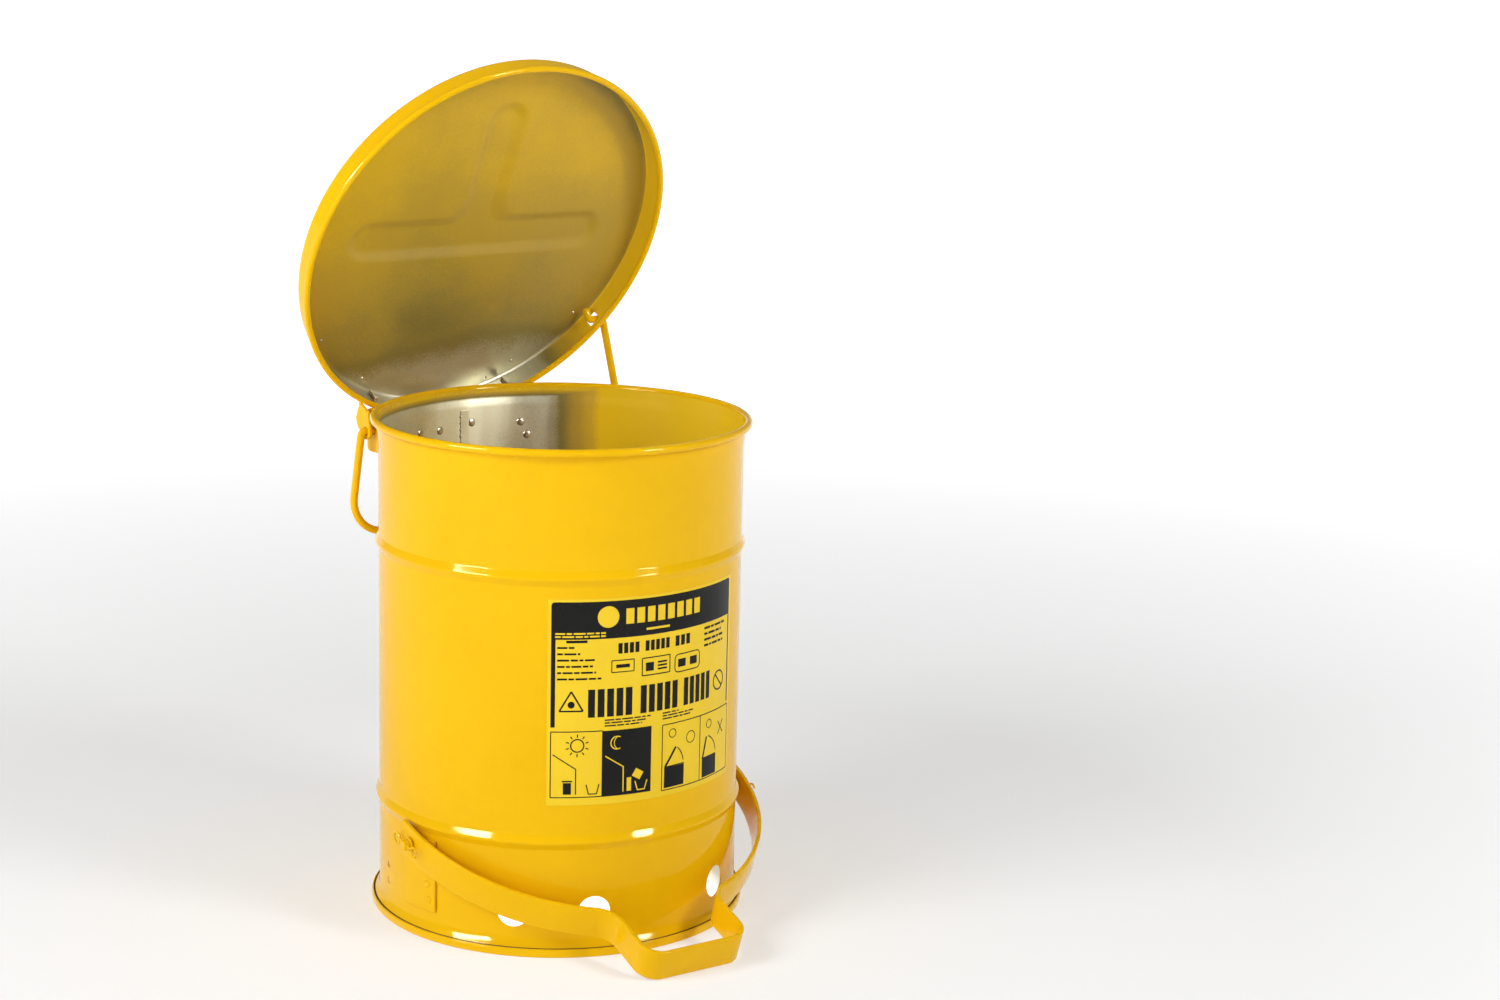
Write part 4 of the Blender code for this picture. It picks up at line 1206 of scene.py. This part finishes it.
def yellow_shapes():
    """Everything left yellow inside the black areas."""
    shapes = [disc(46.0, 147.4, 8.4, 40), rect(77.0, 134.6, 98.0, 136.4)]
    shapes += columns(((60.0, 132.0, 8),), 141.0, 153.0)
    shapes += text_bars(5.6, 44.0, 135.8, 2, 1.3, 2.4, (1.0, 1.0))
    shapes += ring_band(54.2, 48.2, 5.5, 4.6, 60, 300, 26) + ring_band(57.4, 48.2, 5.9, 5.3, 116, 244, 18)
    shapes += strokes(0.9, ((44.9, 38.2), (59.4, 28.6)), ((59.4, 28.8), (59.4, 8.6)))
    shapes += strokes(
        0.9, ((69.2, 16.0), (71.4, 8.6)), ((71.3, 8.7), (77.4, 8.7)), ((77.3, 8.6), (79.5, 16.0)))
    shapes += [[(66.6, 20.6), (73.0, 16.8), (76.4, 22.6), (70.0, 26.4)], rect(62.4, 8.8, 66.0, 19.6)]
    return shapes


def make_label():
    width = radians(LABEL_AZIMUTHS[1] - LABEL_AZIMUTHS[0]) * BODY_R / MM
    height = (LABEL_Z[1] - LABEL_Z[0]) / MM
    base = band(BODY_R + 0.05 * MM, FILM_R, *LABEL_Z, LABEL_AZIMUTHS, 90)
    sheet = add_mesh("label_sheet", base, "film", AT_CAN)
    finish_piece(sheet, "can", "label_film", "label_panel")
    for name, shapes, layer, skin in (
        ("label_print_black", black_shapes(), 1, "ink"),
        ("label_print_yellow", yellow_shapes(), 2, "film"),
    ):
        inside = [[(min(max(u, 0), width), min(max(v, 0), height)) for u, v in s] for s in shapes]
        print_bm = merged([wrapped(outline, layer) for outline in inside])
        piece = add_mesh(name, print_bm, skin, AT_CAN)
        outward_faces(piece)
        finish_piece(piece, "can", "label_film")


def outward_faces(obj):
    """Turns each flat print face away from the can's axis."""
    bm = bmesh.new()
    bm.from_mesh(obj.data)
    for face in bm.faces:
        centre = face.calc_center_median()
        if face.normal.x * centre.x + face.normal.y * centre.y < 0:
            face.normal_flip()
    bm.to_mesh(obj.data)
    bm.free()


# ---- stage

def make_stage():
    bm = bmesh.new()
    bmesh.ops.create_circle(bm, cap_ends=True, segments=96, radius=FLOOR_R)
    floor = add_mesh("floor", bm, "floor")
    floor.location = (AXIS.x, AXIS.y, -FLOOR_DROP)


def make_world():
    """A room that is white near the horizon and dimmer overhead, most of all on the key light's side."""
    world = bpy.data.worlds.new("studio")
    bpy.context.scene.world = world
    n = Nodes(world, "Background", "Generated")
    facing = n.add("ShaderNodeVectorMath", operation="DOT_PRODUCT")
    facing.inputs[1].default_value = AWAY_FROM_KEY
    n.link(n.where, facing.inputs[0])
    squeeze = n.fit(facing.outputs["Value"], 0.25, 0.60, 3.4, 1.0)
    raised = n.math("MULTIPLY", n.axes()["Z"], squeeze)
    n.feed("Strength", n.fit(raised, 0.06, 0.22, 0.97, 0.26, "SMOOTHSTEP"))
    n.set("Color", WHITE)


def soft_box(name, azimuth, elevation, distance, size, power, glossy=True, diffuse=True):
    """A rectangular area light that faces the can from an azimuth and elevation."""
    lamp = bpy.data.lights.new(name, "AREA")
    lamp.shape = "RECTANGLE"
    lamp.size, lamp.size_y = size
    lamp.energy = power
    a, e = radians(azimuth), radians(elevation)
    out = Vector((cos(a) * cos(e), sin(a) * cos(e), sin(e)))
    obj = bpy.data.objects.new(name, lamp)
    bpy.context.scene.collection.objects.link(obj)
    obj.location = AXIS + Vector((0, 0, LIGHT_TARGET_Z)) + out * distance
    obj.rotation_euler = (-out).to_track_quat("-Z", "Y").to_euler()
    obj.visible_glossy = glossy
    obj.visible_diffuse = diffuse


def make_lights():
    """Broad soft light for the body, and sheen panels that draw the glints on the beads."""
    soft_box("key", 177, 33, 2.3, (0.90, 0.90), 26.5, glossy=False)
    soft_box("key_sheen", 178, 24, 2.3, (0.96, 0.36), 135, diffuse=False)
    soft_box("side", -162, 10, 2.3, (0.80, 0.60), 10.5, glossy=False)
    soft_box("fill", -68, 33, 2.4, (0.60, 0.70), 22.5, glossy=False)
    soft_box("fill_sheen", -70, 24, 2.4, (0.50, 0.36), 72, diffuse=False)


def make_camera():
    data = bpy.data.cameras.new("camera")
    data.lens = LENS
    data.sensor_width = SENSOR
    camera = bpy.data.objects.new("camera", data)
    bpy.context.scene.collection.objects.link(camera)
    level_up = CAMERA_RIGHT.cross(CAMERA_AHEAD)
    right = CAMERA_RIGHT * cos(CAMERA_ROLL) + level_up * sin(CAMERA_ROLL)
    up = level_up * cos(CAMERA_ROLL) - CAMERA_RIGHT * sin(CAMERA_ROLL)
    turn = Matrix((right, up, -CAMERA_AHEAD)).transposed().to_4x4()
    camera.matrix_world = Matrix.Translation(AXIS + CAMERA_PLACE) @ turn
    bpy.context.scene.camera = camera
    bpy.context.scene.view_settings.view_transform = "Standard"


def main():
    make_camera()
    make_can()
    make_seam()
    make_hinge_bracket()
    make_lid()
    make_bail()
    make_pedal()
    make_pivot("near", -1, NEAR_FACE, NEAR_PIN_END)
    make_pivot("far", 1, FAR_FACE, FAR_PIN_END)
    make_rod()
    make_label()
    make_stage()
    make_world()
    make_lights()


main()
